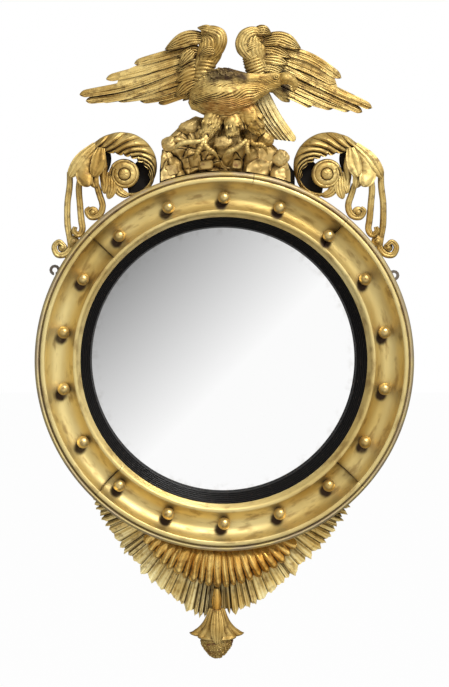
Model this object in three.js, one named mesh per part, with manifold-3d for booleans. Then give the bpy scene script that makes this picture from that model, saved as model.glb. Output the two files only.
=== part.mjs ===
// Round convex wall mirror in a carved and gilded frame, with an eagle crest, acanthus scrolls, a pleated
// apron and a pendant. Millimetres, +Z up. The wall is the plane y = 0 and the front faces -Y. The origin
// lies on the axis of the round frame, at the wall.

import * as THREE from 'three';
import { mergeVertices } from 'three/addons/utils/BufferGeometryUtils.js';
import Module from 'manifold-3d';

// ---- Driving dimensions -------------------------------------------------------------------------------

const GLUE_LINE = 0.3; // gap between two pieces that touch
const SLIVER = 0.12; // facets finer than this are merged after a cut
const OUTWARD = new THREE.Vector3(0, -1, 0); // away from the wall

const CARCASS_RADIUS = 323; // outer side of both rings, behind the outer reed
const REED_RADIUS = 326.5; // outer reed of the moulding
const BACK_THICKNESS = 14; // rear ring
const BACKBOARD_RADIUS = 240;
const BACKBOARD_THICKNESS = 8.5;
const GLASS_RADIUS = 238;
const GLASS_THICKNESS = 4;
const GLASS_RISE = 22; // how far the convex glass stands out at its middle
const SLIP_OUTER = 252;
const SLIP_INNER = 231;
const SLIP_REEDS = 5;
const SIGHT_RADIUS = 248; // inner edge of the gilt moulding, over the slip
const SHOULDER = 37; // depth of the rebate's shoulder, which holds the slip

const HOLLOW_RADIUS = 24; // section of the deep hollow
const HOLLOW_AT = [284, 56]; // centre of that section: radius and distance from the wall
const BALL_COUNT = 18;
const BALL_RADIUS = 10.75;
const BALL_CIRCLE = 281;
const PEG_RADIUS = 3.5;
const PEG_LENGTH = 12;
const PEG_HOLE = PEG_RADIUS + 2 * GLUE_LINE;

const FRONT_JOINTS = [41, 132, 224, 313]; // degrees clockwise from the top, seen from the front
const BACK_JOINTS = [20, 110, 200, 290];
const STEP_DEGREES = 9; // one facet of a ring

const CREST_AXIS = 3; // the scrolls mirror each other about this x
const PENDANT_AXIS = -12; // the apron hangs a little to the left
const CREST_BACK = 22; // front face of the black block, back of the rockwork
const BATTEN_THICKNESS = 6;

const EYE_RADIUS = 4.5;
const LUG_RADIUS = 9.5;
const LUG_SLOT = 2.6;
const PLATE_THICKNESS = 3;
const PLATE_WIDTH = 14;
const LUG_CIRCLE = 333; // centre of each hanging eye, from the frame's axis
const LUG_ANGLES = { left: 297.8, right: 64 }; // degrees clockwise from the top
const SCREW_STEPS = [30, 48]; // each screw's distance inwards from the eye
const PLATE_LENGTH = 58; // from the eye to the inner end of the strap

// ---- Materials ----------------------------------------------------------------------------------------

function finish(color, roughness, metalness) {
  return new THREE.MeshStandardMaterial({ color, roughness, metalness });
}

const GILT = finish('#b8944a', 0.42, 0.85);
const WARM_GILT = finish('#b57a22', 0.4, 0.85);
const EBONISED = finish('#14120f', 0.35, 0);
const BLACK_PAINT = finish('#17140f', 0.7, 0);
const PINE = finish('#8a6a45', 0.8, 0);
const IRON = finish('#4b4a49', 0.5, 0.9);
const SILVERED_GLASS = finish('#dcdad8', 0.04, 1);

// ---- Closed forms -------------------------------------------------------------------------------------

function meshOf(points, faces) {
  const geometry = new THREE.BufferGeometry();
  const coordinates = points.flatMap((point) => point.toArray());
  geometry.setAttribute('position', new THREE.Float32BufferAttribute(coordinates, 3));
  geometry.setIndex(faces.flat());
  return facingOut(geometry);
}

// Turns the faces round where they point inwards, which the sign of the volume tells.
function facingOut(geometry) {
  const position = geometry.getAttribute('position');
  const order = geometry.index ? Array.from(geometry.index.array) : [...Array(position.count).keys()];
  const [a, b, c] = [new THREE.Vector3(), new THREE.Vector3(), new THREE.Vector3()];
  let volume = 0;
  for (let i = 0; i < order.length; i += 3) {
    a.fromBufferAttribute(position, order[i]);
    b.fromBufferAttribute(position, order[i + 1]);
    c.fromBufferAttribute(position, order[i + 2]);
    volume += a.dot(b.cross(c));
  }
  if (volume < 0) {
    order.reverse();
  }
  geometry.setIndex(order);
  return geometry;
}

// Triangles that fill a flat outline and wind the way the outline does.
function fill(outline) {
  const flat = outline.map(([a, b]) => new THREE.Vector2(a, b));
  const turn = Math.sign(THREE.ShapeUtils.area(flat));
  const faces = THREE.ShapeUtils.triangulateShape(flat, []);
  return faces.map(([a, b, c]) => {
    const same = Math.sign(THREE.ShapeUtils.area([flat[a], flat[b], flat[c]])) === turn;
    return same ? [a, b, c] : [a, c, b];
  });
}

// Joins sections of equally many points into one body. place(i, point) puts a section's point in space.
function loft(sections, place) {
  const size = sections[0].length;
  const last = sections.length - 1;
  const points = sections.flatMap((section, i) => section.map((point) => place(i, point)));
  const faces = [];
  for (let i = 0; i < last; i += 1) {
    for (let j = 0; j < size; j += 1) {
      const [a, b] = [i * size + j, i * size + ((j + 1) % size)];
      faces.push([a, b, a + size], [b, b + size, a + size]);
    }
  }
  fill(sections[0]).forEach(([a, b, c]) => faces.push([a, c, b]));
  fill(sections[last]).forEach((face) => faces.push(face.map((k) => last * size + k)));
  return meshOf(points, faces);
}

// A carved form along a path in the plane of the wall. section(t) lists [across, out] offsets from the path.
function carve(path, steps, section) {
  const times = Array.from({ length: steps + 1 }, (_, i) => i / steps);
  const centres = times.map((t) => path.getPoint(t));
  const across = times.map((t) => {
    const along = path.getTangent(t);
    return new THREE.Vector3(-along.z, 0, along.x).normalize();
  });
  return loft(times.map(section), (i, [side, out]) => centres[i].clone()
    .addScaledVector(across[i], side)
    .addScaledVector(OUTWARD, out));
}

// A section turned about the frame's axis from one angle to another. Its points are [radius, depth].
function turned(section, from, to, steps = Math.ceil((to - from) / STEP_DEGREES)) {
  return loft(Array(steps + 1).fill(section), (i, [radius, depth]) => (
    onFrame(from + ((to - from) * i) / steps, radius, depth)));
}

// A whole ring or a solid of revolution: the outline ends on the axis or closes on itself.
function revolved(outline, sides) {
  const profile = outline.map(([radius, depth]) => new THREE.Vector2(radius, -depth));
  return facingOut(new THREE.LatheGeometry(profile, sides));
}

// The point at an angle clockwise from the top, seen from the front.
function onFrame(degrees, radius, depth) {
  const angle = THREE.MathUtils.degToRad(degrees);
  return new THREE.Vector3(radius * Math.sin(angle), -depth, radius * Math.cos(angle));
}

// A curve through points given as [x, z] or [x, z, depth]; depth is the distance from the wall.
function curveThrough(points, depth = 0) {
  return new THREE.CatmullRomCurve3(points.map(([x, z, own = depth]) => new THREE.Vector3(x, -own, z)));
}

// A value that runs smoothly through evenly spaced ones.
function through(values) {
  const line = new THREE.SplineCurve(values.map((value, i) => new THREE.Vector2(i, value)));
  return (t) => line.getPoint(t).y;
}

const closed = (outline) => [...outline, outline[0]];

function box(width, depth, height, x, near, z) {
  return new THREE.BoxGeometry(width, depth, height).translate(x, -near - depth / 2, z);
}

// ---- Joining and cutting ------------------------------------------------------------------------------

const wasm = await Module();
wasm.setup();

function merged(geometry) {
  const bare = geometry.clone();
  bare.deleteAttribute('normal');
  bare.deleteAttribute('uv');
  return mergeVertices(bare, 1e-4);
}

function toSolid(geometry) {
  const { index, attributes } = merged(geometry);
  return new wasm.Manifold(new wasm.Mesh({
    numProp: 3,
    vertProperties: new Float32Array(attributes.position.array),
    triVerts: new Uint32Array(index.array),
  }));
}

// The largest body of a solid, so that a cut leaves no crumbs, without the slivers that a cut makes.
function toGeometry(solid) {
  const bodies = solid.simplify(SLIVER).decompose().sort((a, b) => b.volume() - a.volume());
  const { vertProperties, triVerts } = bodies[0].getMesh();
  const geometry = new THREE.BufferGeometry();
  geometry.setAttribute('position', new THREE.Float32BufferAttribute(vertProperties, 3));
  geometry.setIndex(Array.from(triVerts));
  return geometry;
}

function joined(...geometries) {
  return toGeometry(geometries.map(toSolid).reduce((all, solid) => all.add(solid)));
}

function cut(geometry, ...cutters) {
  return toGeometry(cutters.map(toSolid).reduce((left, cutter) => left.subtract(cutter), toSolid(geometry)));
}

// A copy with its surface moved outwards, to cut a seat that leaves a glue line.
function grown(geometry, by = 2 * GLUE_LINE) {
  const larger = merged(geometry);
  larger.computeVertexNormals();
  const { position, normal } = larger.attributes;
  for (let i = 0; i < position.count; i += 1) {
    position.setXYZ(
      i,
      position.getX(i) + by * normal.getX(i),
      position.getY(i) + by * normal.getY(i),
      position.getZ(i) + by * normal.getZ(i),
    );
  }
  return larger;
}

// ---- The assembly -------------------------------------------------------------------------------------

const mirror = new THREE.Group();

function add(name, geometry, material) {
  const mesh = new THREE.Mesh(geometry, material);
  mesh.name = name;
  mirror.add(mesh);
}

const SIDES = { left: 1, right: -1 };

// Turns a geometry that was drawn for the left side over to the right one. Both stay closed.
function onSide(side, geometry) {
  if (side === 'left') {
    return geometry;
  }
  return facingOut(geometry.clone().scale(-1, 1, 1).translate(2 * CREST_AXIS, 0, 0));
}

// ---- Round frame --------------------------------------------------------------------------------------

// The floor of the hollow is an arc from the inner bead round to the flat band.
function hollowArc(from, to, steps) {
  return Array.from({ length: steps + 1 }, (_, i) => {
    const angle = THREE.MathUtils.degToRad(from + ((to - from) * i) / steps);
    return [HOLLOW_AT[0] - HOLLOW_RADIUS * Math.cos(angle), HOLLOW_AT[1] - HOLLOW_RADIUS * Math.sin(angle)];
  });
}

const FRONT_SECTION = [
  [SLIP_OUTER + 1, BACK_THICKNESS + GLUE_LINE],
  [SLIP_OUTER + 1, SHOULDER],
  [SIGHT_RADIUS, SHOULDER],
  [SIGHT_RADIUS, 40],
  [258, 52],
  [262, 52],
  ...hollowArc(18, 172, 5),
  [308, 64],
  [315, 64],
  [317, 58],
  [322, 60],
  [REED_RADIUS, 54],
  [CARCASS_RADIUS, 45],
  [CARCASS_RADIUS, BACK_THICKNESS + GLUE_LINE],
];

const BACK_SECTION = [
  [BACKBOARD_RADIUS + 1, 0],
  [CARCASS_RADIUS - 4, 0],
  [CARCASS_RADIUS, 4],
  [CARCASS_RADIUS, BACK_THICKNESS],
  [BACKBOARD_RADIUS + 1, BACK_THICKNESS],
];

// A ring that clears the side of the frame, to cut whatever stands against it. Its flats lie at the radius.
function frameClearance(radius, near = -5) {
  const sides = 60;
  const corner = radius / Math.cos(Math.PI / sides);
  return revolved(closed([[200, near], [corner, near], [corner, 90], [200, 90]]), sides);
}

// Half of the glue line at each end of a segment, as an angle at the outside of the ring.
const HALF_JOINT = THREE.MathUtils.radToDeg(GLUE_LINE / 2 / SIGHT_RADIUS);

function segmentSpans(joints) {
  return joints.map((start, i) => {
    const end = joints[(i + 1) % joints.length] + (i === joints.length - 1 ? 360 : 0);
    return [start + HALF_JOINT, end - HALF_JOINT];
  });
}

const ballAngles = Array.from({ length: BALL_COUNT }, (_, i) => (i * 360) / BALL_COUNT);
const hollowFloor = HOLLOW_AT[1] - HOLLOW_RADIUS;

function pegHole(degrees) {
  const hole = new THREE.CylinderGeometry(PEG_HOLE, PEG_HOLE, 2 * PEG_LENGTH, 6);
  const at = onFrame(degrees, BALL_CIRCLE, hollowFloor);
  return hole.translate(at.x, at.y, at.z);
}

function frontSegment([from, to]) {
  const inSpan = (angle) => angle > from && angle < to;
  const here = ballAngles.filter((angle) => inSpan(angle) || inSpan(angle + 360));
  return cut(turned(FRONT_SECTION, from, to), ...here.map(pegHole));
}

segmentSpans(FRONT_JOINTS).forEach((span, i) => {
  add(`frame_segment_${i + 1}`, frontSegment(span), GILT);
});

// A gilt ball, with the peg that glues into its hole. It is turned about the peg.
function ball() {
  const rows = 5;
  const neck = Math.asin(PEG_RADIUS / BALL_RADIUS);
  const outline = Array.from({ length: rows + 1 }, (_, i) => {
    const angle = ((Math.PI - neck) * i) / rows;
    return [BALL_RADIUS * Math.sin(angle), BALL_RADIUS * Math.cos(angle)];
  });
  const end = -BALL_RADIUS - PEG_LENGTH + 3;
  return revolved([...outline, [PEG_RADIUS, end], [0, end]], 7);
}

ballAngles.forEach((degrees, i) => {
  const at = onFrame(degrees, BALL_CIRCLE, hollowFloor + BALL_RADIUS + 3 * GLUE_LINE);
  add(`ball_${String(i + 1).padStart(2, '0')}`, ball().translate(at.x, at.y, at.z), GILT);
});

// The reeds of the slip step down towards the glass, each a small ridge.
function slipSection() {
  const back = BACK_THICKNESS + GLUE_LINE;
  const top = SHOULDER - GLUE_LINE;
  const low = back + 5;
  const reeds = [];
  for (let i = 0; i < SLIP_REEDS; i += 1) {
    const t = i / SLIP_REEDS;
    const step = 1 / SLIP_REEDS;
    const radius = (s) => SIGHT_RADIUS - 0.5 - s * (SIGHT_RADIUS - 0.5 - SLIP_INNER);
    const depth = (s) => top - 1 - s * (top - 1 - low);
    reeds.push([radius(t), depth(t) - 1.2], [radius(t + step / 2), depth(t + step / 2) + 1.2]);
  }
  return [
    [SLIP_OUTER, back],
    [SLIP_OUTER, top],
    [SIGHT_RADIUS + 1, top],
    ...reeds,
    [SLIP_INNER, low],
    [SLIP_INNER, back],
  ];
}

add('ebonised_slip', revolved(closed(slipSection()), 360 / STEP_DEGREES), EBONISED);

// The convex glass is a shallow cap of even thickness.
function glass() {
  const sphere = (GLASS_RADIUS ** 2 + GLASS_RISE ** 2) / (2 * GLASS_RISE);
  const rows = 3;
  const edge = BACKBOARD_THICKNESS + GLUE_LINE;
  const cap = (thickness) => Array.from({ length: rows + 1 }, (_, i) => {
    const radius = (GLASS_RADIUS * i) / rows;
    return [radius, edge + thickness + Math.sqrt(sphere ** 2 - radius ** 2) - (sphere - GLASS_RISE)];
  });
  return revolved([...cap(GLASS_THICKNESS - GLUE_LINE), ...cap(0).reverse()], 36);
}

add('mirror_glass', glass(), SILVERED_GLASS);

// The backboard is made of three upright boards, cut to a disc.
const BOARD_EDGES = [-BACKBOARD_RADIUS, -78, 84, BACKBOARD_RADIUS];
const BACKBOARD = [
  [0, 0],
  [BACKBOARD_RADIUS, 0],
  [BACKBOARD_RADIUS, BACKBOARD_THICKNESS],
  [0, BACKBOARD_THICKNESS],
];
['left', 'middle', 'right'].forEach((name, i) => {
  const disc = revolved(BACKBOARD, 40);
  const from = BOARD_EDGES[i] + GLUE_LINE / 2;
  const to = BOARD_EDGES[i + 1] - GLUE_LINE / 2;
  const strip = box(to - from, 2 * BACKBOARD_THICKNESS, 2 * BACKBOARD_RADIUS + 10, (from + to) / 2, -5, 0);
  add(`backboard_${name}`, toGeometry(toSolid(disc).intersect(toSolid(strip))), PINE);
});

// ---- Hanging plates -----------------------------------------------------------------------------------

// A round eye at the rim and a strap that runs from it towards the frame's axis, between two depths.
function hangingPlate(degrees, near, far, margin) {
  const length = PLATE_LENGTH + margin;
  const eye = new THREE.CylinderGeometry(LUG_RADIUS + margin, LUG_RADIUS + margin, far - near, 12);
  const strap = new THREE.BoxGeometry(PLATE_WIDTH + 2 * margin, far - near, length);
  strap.translate(0, 0, -length / 2).rotateY(THREE.MathUtils.degToRad(degrees));
  const at = onFrame(degrees, LUG_CIRCLE, (near + far) / 2);
  return [eye, strap].map((piece) => piece.translate(at.x, at.y, at.z));
}

function lugHole(degrees) {
  const thickness = 4 * PLATE_THICKNESS;
  const reach = LUG_RADIUS + 2;
  const eye = new THREE.CylinderGeometry(EYE_RADIUS, EYE_RADIUS, thickness, 10);
  const slot = new THREE.BoxGeometry(LUG_SLOT, thickness, reach).translate(0, 0, -reach / 2);
  const at = onFrame(degrees, LUG_CIRCLE, 0);
  return [eye, slot].map((piece) => piece.translate(at.x, at.y, at.z));
}

const SCREW_CLEARANCE = 0.4;

// A countersunk wood screw, turned about its own axis. Its head lies flush in the plate.
function screw(grow = 0) {
  const outline = [
    [0, 0.2 - grow],
    [3.6 + grow, 0.2 - grow],
    [3.6 + grow, 0.7],
    [1.7 + grow, 2.6],
    [1.7 + grow, 9],
    [0, 12 + 2 * grow],
  ];
  return revolved(outline, 6);
}

function screwPlaces(degrees) {
  return SCREW_STEPS.map((step) => onFrame(degrees, LUG_CIRCLE - step, 0));
}

function screwHoles(degrees) {
  return screwPlaces(degrees).map((at) => screw(SCREW_CLEARANCE).translate(at.x, 0, at.z));
}

Object.entries(LUG_ANGLES).forEach(([side, degrees]) => {
  const blank = joined(...hangingPlate(degrees, 0, PLATE_THICKNESS, 0));
  const plate = cut(blank, ...lugHole(degrees), ...screwHoles(degrees));
  add(`hanging_plate_${side}`, plate, IRON);
  screwPlaces(degrees).forEach((at, i) => {
    add(`plate_screw_${side}_${i + 1}`, screw().translate(at.x, 0, at.z), IRON);
  });
});

// ---- Rear ring and battens ----------------------------------------------------------------------------

const CREST_BATTEN = { width: 36, x: CREST_AXIS, low: 262, high: 396 };
const APRON_BATTEN = { width: 30, x: PENDANT_AXIS, low: -428, high: -262 };

function batten({ width, x, low, high }) {
  return box(width, BATTEN_THICKNESS, high - low, x, 0, (low + high) / 2);
}

function battenSeat({ width, x, low, high }) {
  const margin = 2 * GLUE_LINE;
  return box(width + margin, BATTEN_THICKNESS + GLUE_LINE + 1, high - low + margin, x, -1, (low + high) / 2);
}

const plateSeats = Object.values(LUG_ANGLES).flatMap((degrees) => (
  hangingPlate(degrees, -1, PLATE_THICKNESS + GLUE_LINE, GLUE_LINE)));
const allScrewHoles = Object.values(LUG_ANGLES).flatMap(screwHoles);
const battenSeats = [CREST_BATTEN, APRON_BATTEN].map(battenSeat);

segmentSpans(BACK_JOINTS).forEach(([from, to], i) => {
  const ring = turned(BACK_SECTION, from, to);
  add(`back_ring_${i + 1}`, cut(ring, ...plateSeats, ...allScrewHoles, ...battenSeats), PINE);
});

add('crest_batten', batten(CREST_BATTEN), PINE);
add('apron_batten', batten(APRON_BATTEN), PINE);

// ---- Feathers -----------------------------------------------------------------------------------------

// One carved feather: root, middle and tip as [x, z], its full width, and the distance of its face from
// the wall. A ridge runs along it, and it thins and falls back a little towards the tip.
function feather([root, middle, tip, width, out], blunt = 0.45) {
  const path = curveThrough([root, middle, tip], out);
  const half = through([0.72, 1, 1, 0.9, blunt]);
  return carve(path, 3, (t) => {
    const w = (half(t) * width) / 2;
    const fall = 5 * t * t;
    return [[-w, -fall - 2], [w * 0.1, 1.5 - fall], [w, -fall - 1], [w, -fall - 6], [-w, -fall - 8 + 2 * t]];
  });
}

// A rounded mass along a path, with its half widths and half thicknesses in even steps.
function mass(points, halfWidths, halfDepths, steps = 6, sides = 8) {
  const width = through(halfWidths);
  const depth = through(halfDepths);
  return carve(curveThrough(points), steps, (t) => Array.from({ length: sides }, (_, i) => {
    const angle = (2 * Math.PI * (i + 0.5)) / sides;
    return [width(t) * Math.cos(angle), depth(t) * Math.sin(angle)];
  }));
}

const LEFT_WING = {
  flight: [
    [[-62, 541], [-111, 526], [-155, 514], 15, 34],
    [[-64, 526], [-131, 505], [-205, 487], 16, 35],
    [[-64, 512], [-162, 477], [-250, 460], 16, 36],
    [[-64, 498], [-162, 461], [-239, 450], 15, 37],
    [[-64, 488], [-143, 464], [-212, 450], 14, 38],
    [[-64, 477], [-124, 460], [-185, 451], 14, 39],
    [[-62, 469], [-105, 457], [-145, 449], 15, 40],
    [[-59, 462], [-88, 453], [-113, 445], 14, 41],
  ],
  coverts: [
    [[-31, 555], [-62, 557], [-102, 539], 24, 44],
    [[-35, 533], [-55, 536], [-79, 526], 15, 42],
    [[-54, 534], [-65, 523], [-77, 508], 19, 48],
    [[-42, 498], [-62, 495], [-83, 482], 22, 46],
    [[-45, 482], [-66, 472], [-85, 457], 20, 46],
    [[-38, 472], [-55, 462], [-71, 450], 17, 44],
  ],
  shoulder: [[-29, 543, 40], [-29, 522, 41], [-34, 502, 40], [-41, 481, 38], [-52, 462, 36]],
  cap: [[-35, 563, 44], [-26, 553, 46], [-24, 536, 46], [-31, 519, 44], [-42, 501, 42]],
  wrist: [[-45, 572, 50], [-26, 571, 52], [-9, 561, 53], [-7, 547, 53], [-14, 531, 52], [-28, 521, 50]],
};

const RIGHT_WING = {
  flight: [
    [[83, 543], [148, 524], [204, 489], 18, 34],
    [[83, 529], [145, 505], [195, 481], 16, 35],
    [[83, 517], [174, 476], [258, 437], 16, 36],
    [[83, 503], [174, 460], [241, 431], 15, 37],
    [[83, 491], [157, 455], [218, 432], 14, 38],
    [[83, 481], [140, 453], [189, 436], 15, 39],
    [[83, 470], [126, 453], [153, 439], 14, 40],
    [[83, 474], [98, 460], [114, 447], 17, 41],
  ],
  coverts: [
    [[62, 552], [98, 555], [134, 539], 23, 44],
    [[59, 536], [86, 537], [116, 524], 19, 43],
    [[65, 520], [88, 520], [110, 512], 16, 46],
    [[55, 503], [79, 505], [107, 496], 16, 46],
    [[59, 488], [79, 488], [103, 479], 17, 43],
  ],
  shoulder: [[43, 541, 40], [50, 524, 41], [54, 507, 40], [59, 490, 38], [66, 471, 36]],
  cap: [[65, 560, 44], [53, 553, 46], [50, 537, 46], [55, 522, 44], [65, 505, 42]],
  wrist: [[75, 564, 50], [54, 567, 52], [36, 559, 53], [30, 545, 53], [35, 531, 52], [46, 521, 50]],
};

// Flight feathers and coverts grow from a shoulder, under a cap that curls over at the wrist.
function wing({ flight, coverts, shoulder, cap, wrist }) {
  const feathers = [...flight.map((one) => feather(one)), ...coverts.map((one) => feather(one, 0.6))];
  return joined(
    mass(shoulder, [13, 17, 17, 17, 8], [12, 16, 17, 17, 8], 5, 7),
    mass(cap, [8, 17, 21, 19, 12], [8, 13, 14, 13, 9], 5, 7),
    mass(wrist, [5, 9, 11, 11, 9, 6], [7, 10, 11, 11, 9, 7], 7, 6),
    ...feathers,
  );
}

// ---- Eagle --------------------------------------------------------------------------------------------

const trunk = mass(
  [
    [-59, 439, 48], [-43, 447, 50], [-21, 454, 54], [4, 459, 56], [28, 464, 58],
    [51, 471, 60], [71, 477, 60], [90, 483, 60], [102, 484, 60],
  ],
  [7, 28, 43, 45, 37, 23, 15, 13, 8],
  [8, 26, 35, 37, 33, 24, 19, 16, 9],
  10,
  9,
);

const beak = mass(
  [[97, 482, 60], [105, 483, 60], [113, 481, 60], [117, 473, 60], [117, 459, 60]],
  [11.5, 11, 8.5, 4.5, 0.8],
  [13, 12, 9, 5, 1],
  6,
  7,
);
const thighs = [
  mass([[28, 431, 60], [42, 416, 62], [54, 399, 60]], [20, 18, 9], [18, 17, 9], 4),
  mass([[8, 421, 60], [13, 403, 66], [11, 388, 64]], [16, 16, 9], [12, 15, 9], 4),
  mass([[-18, 419, 58], [-27, 402, 62], [-34, 385, 62]], [17, 14, 8], [16, 15, 9], 4),
];

const eagle = joined(trunk, beak, ...thighs);
add('eagle_body', eagle, GILT);

const eagleSeat = grown(eagle);
add('eagle_wing_left', cut(wing(LEFT_WING), eagleSeat), GILT);
add('eagle_wing_right', cut(wing(RIGHT_WING), eagleSeat), GILT);

// Tail feathers lie side by side and end in a slanting edge.
const TAIL_FEATHERS = 6;

function tail() {
  const feathers = Array.from({ length: TAIL_FEATHERS }, (_, i) => {
    const t = i / (TAIL_FEATHERS - 1);
    const root = [THREE.MathUtils.lerp(48, 72, t), THREE.MathUtils.lerp(446, 457, t)];
    const tip = [THREE.MathUtils.lerp(90, 123, t), THREE.MathUtils.lerp(383, 379, t)];
    const middle = [(root[0] + tip[0]) / 2 + 2, (root[1] + tip[1]) / 2 - 2];
    return feather([root, middle, tip, 13, 32 + 1.5 * i], 0.6);
  });
  return joined(...feathers);
}

const tailPiece = cut(tail(), eagleSeat);
add('eagle_tail', tailPiece, GILT);

// ---- Scrolls, hood leaves and tendrils ----------------------------------------------------------------

const SCROLL_EYE = [-172, 322];
const RIBBON_FROM = -150; // degrees; 0 is straight down, 90 points at the crest
const RIBBON_TO = 232;

// Outer and inner edge of the ribbon, from under the coil to the hood leaf, and its distance from the
// wall, in even steps of angle.
const ribbonOuter = through([26, 27.5, 30, 34.5, 40, 47.5, 58, 68, 74.5, 77.5]);
const ribbonInner = through([20, 21, 24, 28, 33.5, 42, 39, 32.5, 32, 60]);
const ribbonFront = through([37, 36, 34, 32, 30, 32, 42, 47, 46, 38]);

// The coil is a domed eye in a groove, a broad rounded band and a rolled edge.
const COIL = [
  [0, 16],
  [26.6, 16],
  [26.6, 34],
  [23.6, 39.6],
  [21.2, 37],
  [19, 41],
  [14, 42],
  [11.4, 38.4],
  [10, 43],
  [0, 45.5],
];

function scroll() {
  const steps = 18;
  const sections = Array.from({ length: steps + 1 }, (_, i) => {
    const t = i / steps;
    const [outer, inner, front] = [ribbonOuter(t), ribbonInner(t), ribbonFront(t)];
    const width = outer - inner;
    return [
      [outer, 13],
      [outer, front - 12],
      [outer - 0.22 * width, front - 3],
      [outer - 0.5 * width, front],
      [inner + 0.2 * width, front - 3],
      [inner, front - 9],
      [inner + 0.15 * width, 13],
    ];
  });
  const ribbon = loft(sections, (i, [radius, depth]) => {
    const angle = THREE.MathUtils.degToRad(RIBBON_FROM + ((RIBBON_TO - RIBBON_FROM) * i) / steps);
    return new THREE.Vector3(
      SCROLL_EYE[0] + radius * Math.sin(angle),
      -depth,
      SCROLL_EYE[1] - radius * Math.cos(angle),
    );
  });
  const coil = revolved(COIL, 12);
  coil.translate(SCROLL_EYE[0], 0, SCROLL_EYE[1]);
  const lowerLeaves = [
    feather([[-200, 319], [-202, 301], [-205, 286], 15, 36]),
    feather([[-180, 301], [-188, 293], [-199, 277], 15, 36]),
  ];
  return joined(ribbon, coil, ...lowerLeaves);
}

// The hood is four lobes that part from the end of the scroll and turn down over the tendrils.
function hood() {
  const lobes = [
    [[-221, 372], [-249, 344], [-267, 316], 23, 40],
    [[-223, 365], [-240, 332], [-233, 300], 28, 44],
    [[-219, 350], [-224, 322], [-221, 298], 20, 42],
    [[-212, 367], [-217, 344], [-225, 317], 25, 50],
  ];
  const path = [[-213, 361, 30], [-209, 338, 29], [-209, 317, 29], [-204, 295, 28]];
  const stem = mass(path, [7, 7, 6, 8], [10, 9, 9, 9], 5, 6);
  return joined(stem, ...lobes.map((lobe) => feather(lobe, 0.55)));
}

const TENDRILS = {
  outer: {
    path: [
      [-267, 326, 28], [-267, 302, 28], [-271, 271, 26], [-271, 236, 23], [-267, 211, 22], [-266, 194, 22],
      [-276, 183, 23], [-289, 183, 23], [-294, 196, 24], [-286, 205, 26], [-277, 199, 27],
    ],
    bead: [-280, 195, 26],
  },
  middle: {
    path: [
      [-249, 316, 30], [-251, 295, 29], [-249, 267, 28], [-247, 243, 27], [-245, 227, 27], [-251, 217, 29],
      [-259, 223, 33], [-257, 231, 35],
    ],
    bead: [-261, 206, 30],
  },
  inner: {
    path: [
      [-221, 305, 30], [-215, 286, 29], [-210, 267, 28], [-216, 251, 28], [-230, 248, 28], [-237, 258, 29],
      [-231, 264, 31],
    ],
    bead: [-229, 257, 31],
  },
};

const BEAD_RADIUS = 5.5;

// A tendril tapers towards its curl, which holds a small bead.
function tendril({ path, bead }) {
  const [x, z, out] = bead;
  const ball = new THREE.IcosahedronGeometry(BEAD_RADIUS, 0).translate(x, -out, z);
  const stem = mass(path, [5.2, 5.6, 5.8, 5.6, 5, 3.8], [6.2, 5.8, 5.4, 5.2, 5, 4], 9, 5);
  return joined(stem, ball);
}

const offRim = frameClearance(REED_RADIUS + GLUE_LINE);
const scrollPiece = cut(scroll(), offRim);
const hoodPiece = cut(hood(), grown(scrollPiece), offRim);
Object.keys(SIDES).forEach((side) => {
  add(`scroll_${side}`, onSide(side, scrollPiece), GILT);
  add(`hood_leaf_${side}`, onSide(side, hoodPiece), GILT);
  Object.entries(TENDRILS).forEach(([name, points]) => {
    const piece = cut(tendril(points), grown(hoodPiece), grown(scrollPiece), offRim);
    add(`tendril_${name}_${side}`, onSide(side, piece), GILT);
  });
});

// ---- Rockwork -----------------------------------------------------------------------------------------

// A pad with a flat back, its lower edge on the round frame. Its upper outline is a list of [x, z].
function padOnFrame(outline, near, far, radius) {
  const [first, last] = [outline[0], outline[outline.length - 1]];
  const steps = 10;
  const [from, to] = [last, first].map(([x]) => THREE.MathUtils.radToDeg(Math.asin(x / radius)));
  const arc = Array.from({ length: steps + 1 }, (_, i) => {
    const at = onFrame(from + ((to - from) * i) / steps, radius, 0);
    return [at.x, at.z];
  });
  const whole = [...outline, ...arc];
  return loft([whole, whole], (i, [x, z]) => new THREE.Vector3(x, i ? -far : -near, z));
}

const crestBlock = padOnFrame(
  [[-111, 329], [-107, 365], [-83, 370], [-59, 381], [55, 381], [83, 363], [107, 350], [124, 325]],
  0.2,
  CREST_BACK - GLUE_LINE,
  CARCASS_RADIUS + 1,
);
const scrollSeats = Object.keys(SIDES).map((side) => grown(onSide(side, scrollPiece)));
const crestSeats = [eagleSeat, grown(tailPiece), ...scrollSeats];
add('crest_block', cut(crestBlock, battenSeat(CREST_BATTEN), ...crestSeats), BLACK_PAINT);

// A boulder is a twelve-sided stone, squashed and turned: its place and distance from the wall, half its
// width and height, and its turn in radians.
function boulder([x, z, out, width, height, turn]) {
  const stone = new THREE.DodecahedronGeometry(1);
  stone.rotateX(turn).rotateY(1.7 * turn).scale(width, 0.8 * (width + height) / 2, height);
  return stone.translate(x, -out, z);
}

const BOULDERS = [
  [-83, 381, 42, 17, 17, 0.3],
  [-97, 360, 40, 13, 17, 1.1],
  [-55, 403, 44, 20, 16, 2.0],
  [-73, 393, 40, 17, 14, 0.7],
  [-31, 394, 46, 14, 12, 1.5],
  [-90, 335, 50, 13, 13, 2.4],
  [-66, 363, 44, 17, 11, 0.2],
  [-49, 337, 50, 10, 11, 0.9],
  [-4, 375, 64, 19, 12, 1.8],
  [67, 380, 46, 19, 13, 2.9],
  [88, 360, 46, 20, 15, 0.5],
  [103, 339, 44, 14, 15, 1.3],
  [51, 351, 54, 17, 13, 2.2],
  [78, 340, 54, 18, 14, 0.4],
  [34, 337, 52, 9, 9, 1.2],
  [18, 356, 54, 13, 9, 2.6],
  [44, 385, 52, 13, 11, 0.8],
];

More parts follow.
